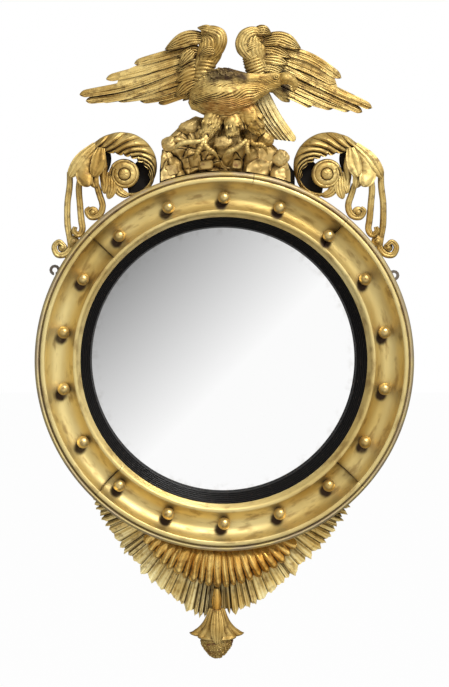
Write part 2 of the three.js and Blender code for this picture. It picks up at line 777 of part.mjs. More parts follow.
// Squared blocks stand along the lower edge. Each is [degrees on the frame, half width, half height, depth].
const SQUARES = [
  [-16.5, 7, 12, 46],
  [-9.8, 9, 10, 46],
  [-5.9, 7, 9, 50],
  [-3.3, 5.5, 10, 48],
  [2.9, 7.5, 9, 50],
  [6.6, 10, 9, 45],
];
const SQUARE_DEPTH = 20;
const SQUARE_SEAT = 330; // radius that their lower ends stand on

function squares() {
  return SQUARES.map(([degrees, half, tall, depth]) => {
    const block = new THREE.BoxGeometry(2 * half, SQUARE_DEPTH, 2 * tall);
    block.translate(0, -depth, SQUARE_SEAT + tall);
    return block.rotateY(THREE.MathUtils.degToRad(degrees));
  });
}

// A toe with its claw, arched over the stones.
function toe(points) {
  return mass(points, [3.4, 3, 3, 1], [3.4, 3, 3, 1], 3, 5);
}

const TOES = [
  [[-30, 386, 70], [-42, 377, 74], [-70, 374, 73], [-87, 361, 64]],
  [[-32, 384, 70], [-41, 370, 74], [-48, 357, 74], [-54, 345, 64]],
  [[-30, 384, 70], [-34, 372, 74], [-22, 360, 74], [-10, 347, 64]],
  [[38, 379, 70], [26, 370, 74], [10, 360, 74], [-3, 349, 64]],
  [[41, 379, 70], [38, 367, 74], [39, 357, 74], [43, 347, 64]],
  [[43, 379, 70], [51, 372, 74], [67, 367, 72], [74, 354, 64]],
];

const BED_THICKNESS = 21;
const bed = padOnFrame(
  [
    [-109, 325], [-105, 363], [-90, 389], [-67, 408], [-48, 419], [10, 415], [59, 398], [84, 372],
    [107, 351], [116, 322],
  ],
  CREST_BACK,
  CREST_BACK + BED_THICKNESS,
  REED_RADIUS + 1,
);
const rockwork = joined(bed, ...BOULDERS.map(boulder), ...squares(), ...TOES.map(toe));
const behindRocks = box(400, CREST_BACK, 300, 0, 0, 400);
add('rockwork', cut(rockwork, ...crestSeats, offRim, behindRocks), GILT);

// ---- Apron --------------------------------------------------------------------------------------------

// A carved sheet between an inner and an outer edge, with a flat back. Each edge is a function of t that
// gives [x, z]; front(t, v) is its face's distance from the wall, v running from the inner to the outer edge.
// place(i) is the t of each column, in even steps unless it is given.
function relief({ inner, outer, front, back, columns, rows, place = (i) => i / columns }) {
  const sections = Array.from({ length: columns + 1 }, (_, i) => {
    const t = place(i);
    const face = Array.from({ length: rows + 1 }, (__, j) => [j / rows, front(t, j / rows)]);
    return [[1, back], [0, back], ...face].map(([v, depth]) => [v, depth, t]);
  });
  return loft(sections, (i, [v, depth, t]) => {
    const [a, b] = [inner(t), outer(t)];
    return new THREE.Vector3(
      THREE.MathUtils.lerp(a[0], b[0], v),
      -depth,
      THREE.MathUtils.lerp(a[1], b[1], v),
    );
  });
}

const APRON_SEAT = CARCASS_RADIUS + 1;

// Where a line from [x, z] towards the heart of a fan meets the underside of the frame.
function onSeat([x, z], heart) {
  const along = new THREE.Vector2(heart[0] - x, heart[1] - z).normalize();
  const nearest = -(x * along.x + z * along.y);
  const way = nearest - Math.sqrt(Math.max(0, nearest ** 2 - x ** 2 - z ** 2 + APRON_SEAT ** 2));
  return [x + along.x * way, z + along.y * way];
}

// The frill's outline falls from each side of the frame to the pendant. t is 0 at the side, 1 at the middle.
const FRILL_LINES = {
  left: [
    [-229, -241], [-217, -269], [-196, -304], [-166, -345], [-124, -389], [-79, -427],
    [-37, -449], [-13, -431],
  ],
  right: [
    [223, -248], [213, -269], [195, -298], [172, -326], [141, -357], [106, -392],
    [53, -430], [13, -442], [-9, -431],
  ],
};
const FRILL_PLEATS = 14;
const FRILL_HEART = [PENDANT_AXIS, -213];
const PLEAT_CREST = 0.6; // how far across a pleat its crest stands

// How high a pleat stands at t, from 0 in its valley to 1 on its crest.
function pleat(t) {
  const share = (t * FRILL_PLEATS) % 1;
  return share < PLEAT_CREST ? share / PLEAT_CREST : (1 - share) / (1 - PLEAT_CREST);
}

// The columns of the sheet fall on the crests and valleys of its pleats.
function onPleats(i) {
  return (Math.floor(i / 2) + (i % 2) * PLEAT_CREST) / FRILL_PLEATS;
}

const PLEAT_TOOTH = 7; // how far its pointed end stands out
const PLEAT_HEIGHT = 9;
const PLEAT_FLOOR = 10.5; // distance of its valleys from the wall
const BEHIND_STALK = 3; // height of the pleats behind the stalk of the pendant

function frillHalf(side, hand) {
  const line = new THREE.SplineCurve(FRILL_LINES[side].map(([x, z]) => new THREE.Vector2(x, z)));
  const edge = (t) => {
    const at = line.getPoint(t);
    return [PENDANT_AXIS - hand * Math.max(GLUE_LINE / 2, hand * (PENDANT_AXIS - at.x)), at.y];
  };
  const outer = (t) => {
    const [x, z] = edge(t);
    const out = new THREE.Vector2(x - FRILL_HEART[0], z - FRILL_HEART[1]).normalize();
    const reach = PLEAT_TOOTH * (pleat(t) - 1);
    return [x + out.x * reach, z + out.y * reach];
  };
  const front = (t) => {
    const low = THREE.MathUtils.smoothstep(t, 0.85, 0.95);
    return PLEAT_FLOOR + THREE.MathUtils.lerp(PLEAT_HEIGHT, BEHIND_STALK, low) * pleat(t);
  };
  return relief({
    inner: (t) => onSeat(edge(t), FRILL_HEART),
    outer,
    front,
    back: BATTEN_THICKNESS + GLUE_LINE,
    columns: 2 * FRILL_PLEATS,
    rows: 1,
    place: onPleats,
  });
}

const SHELL_FLUTES = 19;
const SHELL_BACK = 20.2;
const SHELL_EDGE = 29;
const SHELL_HEART = [-10, -203];
const shellLine = new THREE.SplineCurve([
  [-143, -307], [-128, -332], [-105, -354], [-76, -373], [-45, -387], [-10, -395],
  [24, -390], [55, -379], [84, -363], [110, -342], [129, -315],
].map(([x, z]) => new THREE.Vector2(x, z)));

function shell() {
  const flute = (t) => Math.abs(Math.sin(Math.PI * SHELL_FLUTES * t));
  const outer = (t) => {
    const at = shellLine.getPoint(t);
    const scallop = 1 - 0.04 * (1 - flute(t));
    return SHELL_HEART.map((middle, i) => middle + (at.getComponent(i) - middle) * scallop);
  };
  // The face rises to the frame and bellies out below it, less so at both ends of the fan.
  const front = (t, v) => {
    const fullness = Math.min(1, 6 * Math.min(t, 1 - t));
    return SHELL_EDGE + fullness * (8 - 8 * v + 28 * v * (1 - v)) + (2 + 4 * v) * flute(t);
  };
  const inner = (t) => onSeat(shellLine.getPoint(t).toArray(), SHELL_HEART);
  return relief({ inner, outer, front, back: SHELL_BACK, columns: 3 * SHELL_FLUTES, rows: 2 });
}

// ---- Pendant ------------------------------------------------------------------------------------------

// A form carved in the round but flat behind. Each level is [z, half width, half depth, depth of the lobes].
function levelled(levels, lobes, centre, sides = 20) {
  const sections = levels.map(([, width, depth, dent]) => Array.from({ length: sides }, (_, i) => {
    const angle = (2 * Math.PI * i) / sides;
    const swell = 1 - dent * (0.5 - 0.5 * Math.cos(lobes * angle));
    return [width * swell * Math.sin(angle), depth * swell * Math.cos(angle)];
  }));
  return loft(sections, (i, [x, out]) => new THREE.Vector3(PENDANT_AXIS + x, -centre - out, levels[i][0]));
}

const PENDANT_DEPTH = 27;
const leaves = levelled([
  [-396, 6.5, 6, 0],
  [-406, 9, 7, 0],
  [-418, 10, 8, 0],
  [-430, 10, 9, 0.05],
  [-433, 13, 11, 0.1],
  [-446, 18, 15, 0.15],
  [-455, 23, 17, 0.2],
  [-464, 31, 19, 0.26],
  [-471, 41, 21, 0.32],
  [-476, 46, 20, 0.34],
], 6, PENDANT_DEPTH, 18);
const bud = levelled([
  [-476.4, 26, 19, 0],
  [-486, 27.5, 20, 0],
  [-495, 25, 19, 0],
  [-504, 19, 15, 0],
  [-512, 11.5, 9, 0],
  [-518, 3, 3, 0],
], 1, PENDANT_DEPTH, 12);
const wallSide = box(200, 20, 300, PENDANT_AXIS, BATTEN_THICKNESS + GLUE_LINE - 20, -450);
const shellPiece = shell();
const leafPiece = cut(leaves, wallSide, grown(shellPiece));
add('apron_shell', shellPiece, WARM_GILT);
add('pendant_leaves', leafPiece, WARM_GILT);
add('pendant_bud', cut(bud, wallSide), WARM_GILT);

const middle = box(GLUE_LINE, 60, 300, PENDANT_AXIS, -10, -450);
Object.entries(SIDES).forEach(([side, hand]) => {
  const underFrame = frameClearance(CARCASS_RADIUS + GLUE_LINE);
  const half = cut(frillHalf(side, hand), grown(leafPiece), middle, underFrame);
  add(`apron_frill_${side}`, half, GILT);
});

export default mirror;
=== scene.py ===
"""Round convex mirror in a carved and gilded frame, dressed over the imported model.

Every size is in millimetres until a piece becomes a mesh. The wall is the plane y = 0 and the front faces -Y.
A place is given as x, z and, where needed, the distance from the wall.
"""

import math

import bmesh
import bpy
import numpy as np
from mathutils import Matrix, Vector


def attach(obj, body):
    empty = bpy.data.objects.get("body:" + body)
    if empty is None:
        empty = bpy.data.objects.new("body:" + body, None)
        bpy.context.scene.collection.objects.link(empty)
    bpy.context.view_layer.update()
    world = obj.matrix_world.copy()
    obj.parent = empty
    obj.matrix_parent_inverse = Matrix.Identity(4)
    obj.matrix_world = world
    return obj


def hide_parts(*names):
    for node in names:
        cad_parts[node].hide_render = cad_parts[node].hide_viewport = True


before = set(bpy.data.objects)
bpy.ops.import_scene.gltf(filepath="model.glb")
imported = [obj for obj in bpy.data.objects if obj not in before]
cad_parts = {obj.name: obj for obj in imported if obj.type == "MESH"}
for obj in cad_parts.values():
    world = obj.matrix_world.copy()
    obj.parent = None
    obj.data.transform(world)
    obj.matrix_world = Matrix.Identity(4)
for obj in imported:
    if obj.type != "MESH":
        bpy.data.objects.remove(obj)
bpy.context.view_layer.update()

MM = 0.001
TURN = 2 * math.pi

# ---- Driving sizes, the same as the construction's ----------------------------------------------------

CARCASS_RADIUS = 323
BACK_THICKNESS = 14
GLASS_RADIUS = 238
GLASS_RISE = 22
GLASS_EDGE = 8.8  # back face of the glass at its edge
GLASS_THICKNESS = 3.7
SLIP_OUTER = 252
SLIP_INNER = 231
SLIP_REEDS = 6
SIGHT_RADIUS = 248
SHOULDER = 37
HOLLOW_RADIUS = 24
HOLLOW_AT = (284, 56)
FRONT_JOINTS = (41, 132, 224, 313)
HALF_JOINT = 0.02  # degrees
BALL_COUNT = 18
BALL_RADIUS = 10.75
BALL_CIRCLE = 281
BALL_DEPTH = 43.7
CREST_AXIS = 3
PENDANT_AXIS = -12
FRILL_BACK = 6.3
SHELL_BACK = 20.2
SCROLL_EYE = (-172, 322)
CLEARANCE = 0.3  # between a dressed piece and its seat
FRAME_SEAT = BACK_THICKNESS + CLEARANCE

# ---- Forms --------------------------------------------------------------------------------------------


def through(values, t):
    """The smooth value at t, from 0 to 1, on a curve through evenly spaced ones."""
    values = np.asarray(values, float)
    held = np.concatenate([[2 * values[0] - values[1]], values, [2 * values[-1] - values[-2]]])
    place = np.clip(t, 0, 1) * (len(values) - 1)
    i = np.minimum(np.asarray(place).astype(int), len(values) - 2)
    f = place - i
    a, b, c, d = held[i], held[i + 1], held[i + 2], held[i + 3]
    return 0.5 * (2 * b + (c - a) * f + (2 * a - 5 * b + 4 * c - d) * f**2 + (3 * b - a - 3 * c + d) * f**3)


def line_through(points, t):
    """Points at t on a smooth curve through the given ones."""
    return np.stack([through(column, t) for column in zip(*points)], axis=-1)


def step(low, high, value):
    """0 below low, 1 above high and smooth between."""
    f = np.clip((value - low) / (high - low), 0, 1)
    return f * f * (3 - 2 * f)


def peak(offset, width):
    """1 where the offset is 0, falling off smoothly over the width."""
    return np.exp(-((offset / width) ** 2))


def ripple(place, sharpness=0.7):
    """Rounded ridges, one to each unit of place, from 0 in the grooves to 1 on top."""
    return np.abs(np.sin(math.pi * place)) ** sharpness


def unevenness(seed, *axes):
    """A smooth seeded unevenness between -1 and 1, with features about one unit wide."""
    draw = np.random.default_rng(seed)
    waves = 6
    total = 0
    for _ in range(waves):
        total = total + np.sin(sum(axis * draw.normal(0, 1.6) for axis in axes) + draw.uniform(0, TURN))
    return total / waves


def on_frame(angle, radius, depth):
    """x, y, z at an angle in degrees clockwise from the top."""
    a = np.radians(angle)
    return np.stack(np.broadcast_arrays(radius * np.sin(a), -depth, radius * np.cos(a)), axis=-1)


class Carving:
    """Closed shells, in millimetres, that become one piece."""

    def __init__(self):
        self.points, self.faces, self.total = [], [], 0

    def add(self, points, faces):
        """Adds one closed shell and turns its faces outwards."""
        points = np.asarray(points, float)
        corners = np.array([(f[0], f[i], f[i + 1]) for f in faces for i in range(1, len(f) - 1)])
        a, b, c = (points[corners[:, k]] for k in range(3))
        if np.einsum("ij,ij->i", a, np.cross(b, c)).sum() < 0:
            faces = [face[::-1] for face in faces]
        self.faces += [[self.total + k for k in face] for face in faces]
        self.points.append(points)
        self.total += len(points)
        return self

    def loft(self, grid):
        """Adds a shell from rings of points, grid[ring, place], closed at both ends."""
        rings, size = grid.shape[:2]
        index = np.arange(rings * size).reshape(rings, size)
        after = np.roll(index, -1, axis=1)
        quads = np.stack([index[:-1], after[:-1], after[1:], index[1:]], axis=-1).reshape(-1, 4)
        first, last = rings * size, rings * size + 1
        caps = [[first, int(b), int(a)] for a, b in zip(index[0], after[0])]
        caps += [[last, int(a), int(b)] for a, b in zip(index[-1], after[-1])]
        middles = [grid[0].mean(axis=0), grid[-1].mean(axis=0)]
        return self.add(np.vstack([grid.reshape(-1, 3), middles]), quads.tolist() + caps)

    def ring(self, grid):
        """Adds a shell from rings of points that come round to the first one."""
        rings, size = grid.shape[:2]
        index = np.arange(rings * size).reshape(rings, size)
        after = np.roll(index, -1, axis=1)
        quads = np.stack([index, after, np.roll(after, -1, axis=0), np.roll(index, -1, axis=0)], axis=-1)
        return self.add(grid.reshape(-1, 3), quads.reshape(-1, 4).tolist())

    def mirrored(self):
        """The same carving turned over about the crest's vertical axis."""
        other = Carving()
        other.points = [points * [-1, 1, 1] + [2 * CREST_AXIS, 0, 0] for points in self.points]
        other.faces = [face[::-1] for face in self.faces]
        other.total = self.total
        return other

    def mesh(self, name, crease=50):
        """The carving as a mesh in metres, smooth up to an angle of crease degrees."""
        mesh = bpy.data.meshes.new(name)
        mesh.from_pydata((np.vstack(self.points) * MM).tolist(), [], self.faces)
        mesh.polygons.foreach_set("use_smooth", np.ones(len(mesh.polygons), bool))
        mesh.set_sharp_from_angle(angle=math.radians(crease))
        return mesh


def piece(name, mesh, material, slot, *nodes):
    """Puts a finished mesh in the model as the piece that stands for some nodes."""
    body = bpy.data.objects.new(name, mesh)
    bpy.context.collection.objects.link(body)
    mesh.materials.clear()
    mesh.materials.append(material)
    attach(body, "root")
    if nodes:
        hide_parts(*nodes)
    return body


def along_path(points, t, sides, outs):
    """Rings of points along a path of x, z, depth: sides and outs are offsets, one row for each t."""
    path = line_through(points, t)
    ahead = line_through(points, np.minimum(t + 1e-3, 1))
    behind = line_through(points, np.maximum(t - 1e-3, 0))
    along = (ahead - behind)[:, :2]
    along /= np.linalg.norm(along, axis=1, keepdims=True)
    x = path[:, 0, None] - along[:, 1, None] * sides
    z = path[:, 1, None] + along[:, 0, None] * sides
    y = -(path[:, 2, None] + outs)
    return np.stack([x, y, z], axis=-1)


def path_length(points):
    """The length of a smooth path, in millimetres."""
    places = line_through(points, np.linspace(0, 1, 30))
    return np.linalg.norm(np.diff(places, axis=0), axis=1).sum()


# ---- Node trees and finishes --------------------------------------------------------------------------


class Wire:
    """A socket of a node tree. A shader socket can be used in sums."""

    def __init__(self, owner, socket):
        self.owner, self.socket = owner, socket

    def sum(self, operation, *others):
        return self.owner.node("ShaderNodeMath", {"operation": operation}, dict(enumerate(others)))

    def __add__(self, other):
        return self.sum("ADD", self, other)

    def __sub__(self, other):
        return self.sum("SUBTRACT", self, other)

    def __rsub__(self, other):
        return self.sum("SUBTRACT", other, self)

    def __mul__(self, other):
        return self.sum("MULTIPLY", self, other)

    def __truediv__(self, other):
        return self.sum("DIVIDE", self, other)

    def __pow__(self, other):
        return self.sum("POWER", self, other)

    __radd__ = __add__
    __rmul__ = __mul__

    def between(self, low, high):
        """0 below low, 1 above high and smooth between."""
        settings = {"interpolation_type": "SMOOTHSTEP"}
        values = {"Value": self, "From Min": low, "From Max": high}
        return self.owner.node("ShaderNodeMapRange", settings, values)


class Wiring:
    """A node tree under construction, whose nodes all come from one method."""

    def node(self, kind, settings=None, values=None, output=0):
        """The output of a new node. Its settings are set first, then the values or wires of its sockets."""
        made = self.tree.nodes.new(kind)
        for name, setting in (settings or {}).items():
            setattr(made, name, setting)
        for name, value in (values or {}).items():
            if isinstance(value, Wire):
                self.tree.links.new(value.socket, made.inputs[name])
            else:
                made.inputs[name].default_value = value
        return Wire(self, made.outputs[output]) if made.outputs else None


class Finish(Wiring):
    """The shader of a material, or of the world, under construction."""

    def __init__(self, owner):
        self.material = owner
        owner.use_nodes = True
        self.tree = owner.node_tree
        self.tree.nodes.clear()
        self.place = self.node("ShaderNodeTexCoord", output="Object")

    def mix(self, mask, first, second):
        """The first colour where the mask is 0, the second where it is 1."""
        first, second = (c if isinstance(c, Wire) else (*c, 1) for c in (first, second))
        return self.node("ShaderNodeMix", {"data_type": "RGBA"}, {0: mask, 6: first, 7: second}, 2)

    def grey(self, value, tint=(1, 1, 1)):
        """A colour from one value, tinted."""
        channels = {i: value if part == 1 else value * part for i, part in enumerate(tint)}
        return self.node("ShaderNodeCombineXYZ", {}, channels)

    def clouds(self, size, detail=3, place=None, seed=0):
        """Soft patches about size millimetres across, between 0 and 1."""
        values = {"Vector": place or self.place, "W": seed, "Scale": 1000 / size, "Detail": detail}
        return self.node("ShaderNodeTexNoise", {"noise_dimensions": "4D"}, values)

    def stretched(self, x, y, z):
        """Coordinates for a pattern that is pulled out along some axes."""
        return self.node("ShaderNodeMapping", {}, {"Vector": self.place, "Scale": (x, y, z)})

    def split(self, axis, place=None):
        """One coordinate of a place, by default of the point that is shaded."""
        return self.node("ShaderNodeSeparateXYZ", {}, {"Vector": place or self.place}, axis)

    def facing(self, axis):
        """How far the surface faces along an axis of the object."""
        normal = self.node("ShaderNodeNewGeometry", output="Normal")
        return self.split(axis, normal)

    def hollow(self, reach):
        """1 deep inside carving, 0 in the open, by what stands within reach millimetres."""
        settings = {"samples": 6, "only_local": False}
        open_air = self.node("ShaderNodeAmbientOcclusion", settings, {"Distance": reach * MM}, "AO")
        return 1 - open_air

    def edges(self, low=0.52, high=0.60):
        """1 on sharp outer edges. A flat surface is at 0.5."""
        return self.node("ShaderNodeNewGeometry", output="Pointiness").between(low, high)

    def bump(self, height, depth, after=None):
        """A normal from a height between 0 and 1 that stands for depth millimetres."""
        values = {"Height": height, "Distance": depth * MM, "Strength": 1.0}
        if after:
            values["Normal"] = after
        return self.node("ShaderNodeBump", {}, values)

    def done(self, **values):
        """Ends in a Principled shader with these sockets."""
        named = {name.replace("_", " "): value for name, value in values.items()}
        shader = self.node("ShaderNodeBsdfPrincipled", {}, named)
        self.node("ShaderNodeOutputMaterial", {}, {"Surface": shader})
        return self.material


def srgb(red, green, blue):
    """A colour given as it looks on screen, 0 to 255, in the linear values that a shader takes."""
    channels = (red, green, blue)
    return tuple((c / 255 / 12.92) if c <= 10 else ((c / 255 + 0.055) / 1.055) ** 2.4 for c in channels)


BOLE = srgb(122, 62, 36)
BRONZE = srgb(164, 112, 44)
UMBER = srgb(52, 34, 18)
GESSO = srgb(196, 178, 150)
BACK_OCHRE = srgb(128, 98, 52)
BAND_END = 317  # radius at which the flat band meets the outer reed
# Painted shadow, with some dirt, beside each ball: where it is shifted to and how far it reaches, in millimetres.
BALL_SHADOW_SHIFT = (5, 11)  # to the left of a ball's middle and below it
BALL_SHADOW_REACH = (6, 15)
STREAK_SQUEEZE = 0.09  # how far the pattern is pulled out round the frame


def gilding(name, leaf, pale, deep, shine, rough, wear,
            moulding=False, rubbed_at=(), painted_shade_at=(), strokes=False):
    """Old leaf gilding: tones of gold, red ground where it has rubbed through, dirt and painted shade in the
    hollows and creases, and a painted highlight in the pale tone along sharp ridges.

    moulding adds the wear and dark joints of the round frame, and a painted shadow, with some dirt, below and
    to the left of each ball. rubbed_at lists x, z and reach of rubbed patches on the front, the list after it
    those of patches of painted shade, and strokes adds level streaks.
    """
    f = Finish(bpy.data.materials.new(name))
    pattern = round_the_frame(f) if moulding else f.place
    broad = f.clouds(70, 3, pattern)
    small = f.clouds(9, 4, pattern, 3)
    fine = f.clouds(1.6, 3, None, 7)
    gold = f.mix(broad.between(0.35, 0.68), leaf, pale)
    gold = f.mix(small.between(0.50, 0.70) * 0.6, gold, deep)
    hollow = f.hollow(16)
    crease = f.hollow(4)
    rubbed = f.edges() * small.between(0.42, 0.62) * wear
    thin = (fine * small).between(0.30, 0.42) * wear
    bare = (rubbed + thin * 0.55).between(0.1, 1)
    # painted shade, with dirt: the deep tone in the hollows
    gold = f.mix(hollow.between(0.2, 0.85) * 0.7, gold, deep)
    # painted highlight: the pale tone along sharp ridges
    gold = f.mix(f.edges(0.505, 0.56) * (0.9 - small) * 0.9, gold, pale)
    for x, z, reach in rubbed_at:
        gold = f.mix(near(f, x, z, reach) * (0.25 + small), gold, BRONZE)
    if strokes:
        hair = f.clouds(3.2, 2, f.stretched(0.22, 1, 1.15), 5)
        gold = f.mix(hair.between(0.5, 0.72) * 0.85, gold, deep)
        gold = f.mix(hair.between(0.45, 0.3) * 0.5, gold, pale)
        fine = hair * 0.7 + fine * 0.3
    # painted shade: umber patches at the listed places
    for x, z, reach in painted_shade_at:
        gold = f.mix(near(f, x, z, reach) * (0.35 + small), gold, UMBER)
    gold = f.mix(bare, gold, BOLE)
    # painted shade in creases, and dirt in patches within the hollows
    dirt_and_shade = crease.between(0.26, 0.75) + small.between(0.62, 0.75) * hollow
    if moulding:
        radius = radius_of(f)
        on_reed = radius.between((BAND_END - 0.5) * MM, (BAND_END + 1.5) * MM)
        gold = f.mix(on_reed * small.between(0.36, 0.6) * 0.7, gold, GESSO)
        # painted shadow, with some dirt, below and to the left of each ball
        dirt_and_shade = dirt_and_shade + shadow_and_dirt_by_balls(f) * (0.45 + small)
        for angle, inner, outer, width in CRACKS:
            dirt_and_shade = dirt_and_shade + joint_line(f, angle, inner, outer, width)
    dirt_and_shade = dirt_and_shade.between(0, 1)
    color = f.mix(dirt_and_shade, gold, UMBER)
    behind = f.facing(1).between(0.5, 0.8)
    color = f.mix(behind, color, f.mix(broad, BACK_OCHRE, UMBER))
    metal = (1 - dirt_and_shade * 0.8) * (1 - bare * 0.7) * (1 - behind) * shine
    rough = rough + small * 0.16 + dirt_and_shade * 0.3 + bare * 0.15
    normal = f.bump(fine, 0.10, f.bump(small, 0.5))
    return f.done(Base_Color=color, Metallic=metal, Roughness=rough, Normal=normal)


def radius_of(f):
    """Distance from the frame's axis, in metres."""
    x, z = f.split(0), f.split(2)
    return (x * x + z * z) ** 0.5


def near(f, x, z, reach):
    """1 at a point of the front, given in millimetres, and 0 at a distance of reach."""
    across, up = f.split(0) - x * MM, f.split(2) - z * MM
    return 1 - ((across * across + up * up) ** 0.5).between(0.35 * reach * MM, reach * MM)


def shadow_and_dirt_by_balls(f):
    """1 on the painted shadow, with some dirt, that lies below and to the left of each ball in the hollow."""
    spacing = TURN / BALL_COUNT
    turn = f.split(0).sum("ARCTAN2", f.split(0), f.split(2)) / spacing
    turn = turn.sum("ROUND", turn) * spacing
    left, down = BALL_SHADOW_SHIFT
    inner, outer = BALL_SHADOW_REACH
    across = f.split(0) - turn.sum("SINE", turn) * (BALL_CIRCLE * MM) + left * MM
    up = f.split(2) - turn.sum("COSINE", turn) * (BALL_CIRCLE * MM) + down * MM
    return 1 - ((across * across + up * up) ** 0.5).between(inner * MM, outer * MM)


def round_the_frame(f):
    """Coordinates that run round the frame, so that streaks follow the moulding."""
    x, z, radius = f.split(0), f.split(2), radius_of(f)
    values = {0: x / radius * STREAK_SQUEEZE, 1: radius, 2: z / radius * STREAK_SQUEEZE}
    return f.node("ShaderNodeCombineXYZ", {}, values)


def joint_line(f, angle, inner, outer, width):
    """1 on a dark line across the moulding, at an angle from the top and between two radii."""
    a = math.radians(angle)
    across = f.split(0) * math.cos(a) - f.split(2) * math.sin(a)
    out = f.split(0) * math.sin(a) + f.split(2) * math.cos(a)
    wander = (f.clouds(12, 2, None, angle) - 0.5) * (3 * MM)
    on_line = 1 - (across + wander).sum("ABSOLUTE", across + wander).between(width * 0.3 * MM, width * MM)
    past_inner = out.between(inner * MM, (inner + 1) * MM)
    return on_line * past_inner * (1 - out.between((outer - 1) * MM, outer * MM))


def ebonised():
    """Black polished wood, rubbed brown here and there."""
    f = Finish(bpy.data.materials.new("ebonised_reeds"))
    small = f.clouds(5, 4)
    speck = f.clouds(1.4, 2, None, 4)
    worn = (f.edges(0.50, 0.56) * small.between(0.5, 0.7)) + speck.between(0.72, 0.78) * 0.5
    color = f.mix(worn.between(0, 1), srgb(12, 11, 11), srgb(66, 54, 44))
    rough = 0.34 + small * 0.2
    normal = f.bump(small, 0.15)
    return f.done(Base_Color=color, Roughness=rough, Normal=normal, Metallic=0.0, Specular_IOR_Level=0.16)


def black_paint():
    """Matt black paint over carved wood, dusty where it faces up. Inside the scrolls it also stands for painted
    shade.
    """
    f = Finish(bpy.data.materials.new("black_paint"))
    small = f.clouds(7, 5)
    dust = f.facing(2).between(0.3, 1) * small
    color = f.mix(dust * 0.3, srgb(12, 9, 8), srgb(54, 46, 38))
    rough = 0.6 + small * 0.3
    normal = f.bump(small, 0.6)
    return f.done(Base_Color=color, Roughness=rough, Normal=normal, Metallic=0.0, Specular_IOR_Level=0.2)


def old_pine():
    """Pine gone brown with age, with its grain along the boards and painted shade in its hollows."""
    f = Finish(bpy.data.materials.new("old_pine"))
    grain = f.clouds(9, 5, f.stretched(1, 1, 0.05))
    broad = f.clouds(120, 2)
    pores = f.clouds(1.3, 2, f.stretched(1, 1, 0.04), 2)
    wood = f.mix(grain.between(0.35, 0.65), srgb(150, 116, 74), srgb(104, 74, 44))
    wood = f.mix(broad.between(0.4, 0.7) * 0.5, wood, srgb(84, 62, 42))
    # painted shade: darker brown in the hollows
    wood = f.mix(f.hollow(20).between(0.3, 1) * 0.7, wood, srgb(40, 30, 22))
    return f.done(Base_Color=wood, Roughness=0.62 + grain * 0.2, Normal=f.bump(pores, 0.25), Metallic=0.0)


def old_iron():
    """Dark forged iron with a little rust."""
    f = Finish(bpy.data.materials.new("old_iron"))
    small = f.clouds(3, 5)
    rust = small.between(0.55, 0.7)
    color = f.mix(rust, srgb(120, 112, 104), srgb(104, 66, 42))
    metal, rough = 0.9 - rust * 0.7, 0.4 + rust * 0.4
    return f.done(Base_Color=color, Metallic=metal, Roughness=rough, Normal=f.bump(small, 0.25))


def silvered():
    """Old convex mirror glass, a little uneven and faintly grey at its edge."""
    f = Finish(bpy.data.materials.new("silvered_glass"))
    edge = radius_of(f).between((GLASS_RADIUS - 28) * MM, GLASS_RADIUS * MM)
    age = f.clouds(16, 5)
    color = f.mix(edge * age.between(0.45, 0.75) * 0.5, srgb(251, 251, 251), srgb(176, 170, 158))
    behind = f.facing(1).between(0.2, 0.6)
    color = f.mix(behind, color, srgb(92, 40, 30))
    rough = 0.015 + behind * 0.5
    ripples = f.bump(f.clouds(90, 1), 0.02)
    return f.done(Base_Color=color, Metallic=1 - behind, Roughness=rough, Normal=ripples)


# Angle from the top, inner and outer radius, width.
CRACKS = [(angle, 262, 298, 0.55) for angle in FRONT_JOINTS] + [(9, 309, 327, 0.7)]

# The tones are those of the leaf, its pale patches and painted highlights, and its deep patches and painted shade.
FRAME_GOLD = gilding("frame_gilding", srgb(203, 174, 101), srgb(232, 212, 147), srgb(134, 98, 44),
                     shine=0.72, rough=0.38, wear=0.4, moulding=True)
BALL_GOLD = gilding("ball_gilding", srgb(200, 166, 94), srgb(232, 206, 140), srgb(120, 80, 34),
                    shine=0.8, rough=0.26, wear=0.5)
CARVED_GOLD = gilding("carved_gilding", srgb(174, 138, 66), srgb(226, 200, 128), srgb(92, 60, 20),
                      shine=0.58, rough=0.42, wear=0.6,
                      # painted shade on the wing beside and behind the beak
                      painted_shade_at=[(106, 474, 12), (107, 469, 11), (103, 498, 9)])
BODY_GOLD = gilding("body_gilding", srgb(188, 150, 72), srgb(230, 202, 126), srgb(104, 70, 24),
                    shine=0.54, rough=0.46, wear=0.4,
                    rubbed_at=[(4, 436, 28), (36, 440, 22), (-26, 438, 18)],
                    # painted shade on the top of the back, between the wings
                    painted_shade_at=[(-19, 489, 19), (5, 494, 25), (29, 489, 17)], strokes=True)
PALE_GOLD = gilding("pale_gilding", srgb(232, 202, 122), srgb(255, 240, 180), srgb(128, 92, 36),
                    shine=0.38, rough=0.32, wear=0.3)
STONE_GOLD = gilding("stone_gilding", srgb(176, 142, 74), srgb(216, 188, 122), srgb(92, 64, 26),
                     shine=0.5, rough=0.42, wear=0.6)
WARM_GOLD = gilding("warm_gilding", srgb(208, 154, 62), srgb(252, 220, 136), srgb(120, 70, 18),
                    shine=0.8, rough=0.18, wear=0.06)
EBONY = ebonised()
BLACK = black_paint()
PINE = old_pine()
IRON = old_iron()
MIRROR = silvered()

# ---- Round frame --------------------------------------------------------------------------------------


ARRIS = 0.12  # degrees over which the end of a length is worn
WORN_END = 0.25
REED_FALL = 1.6  # from the slip's top to its first reed
REED_SWELL = 1.5
REED_SINK = 0.5
SLIP_FOOT = 5.2  # from the slip's back to its last reed


def arc(centre, radius, start, end, count):
    """Points of radius and depth on an arc; 0 degrees points at the frame's axis and 90 at the wall."""
    a = np.radians(np.linspace(start, end, count))
    return np.stack([centre[0] - radius * np.cos(a), centre[1] - radius * np.sin(a)], axis=-1)


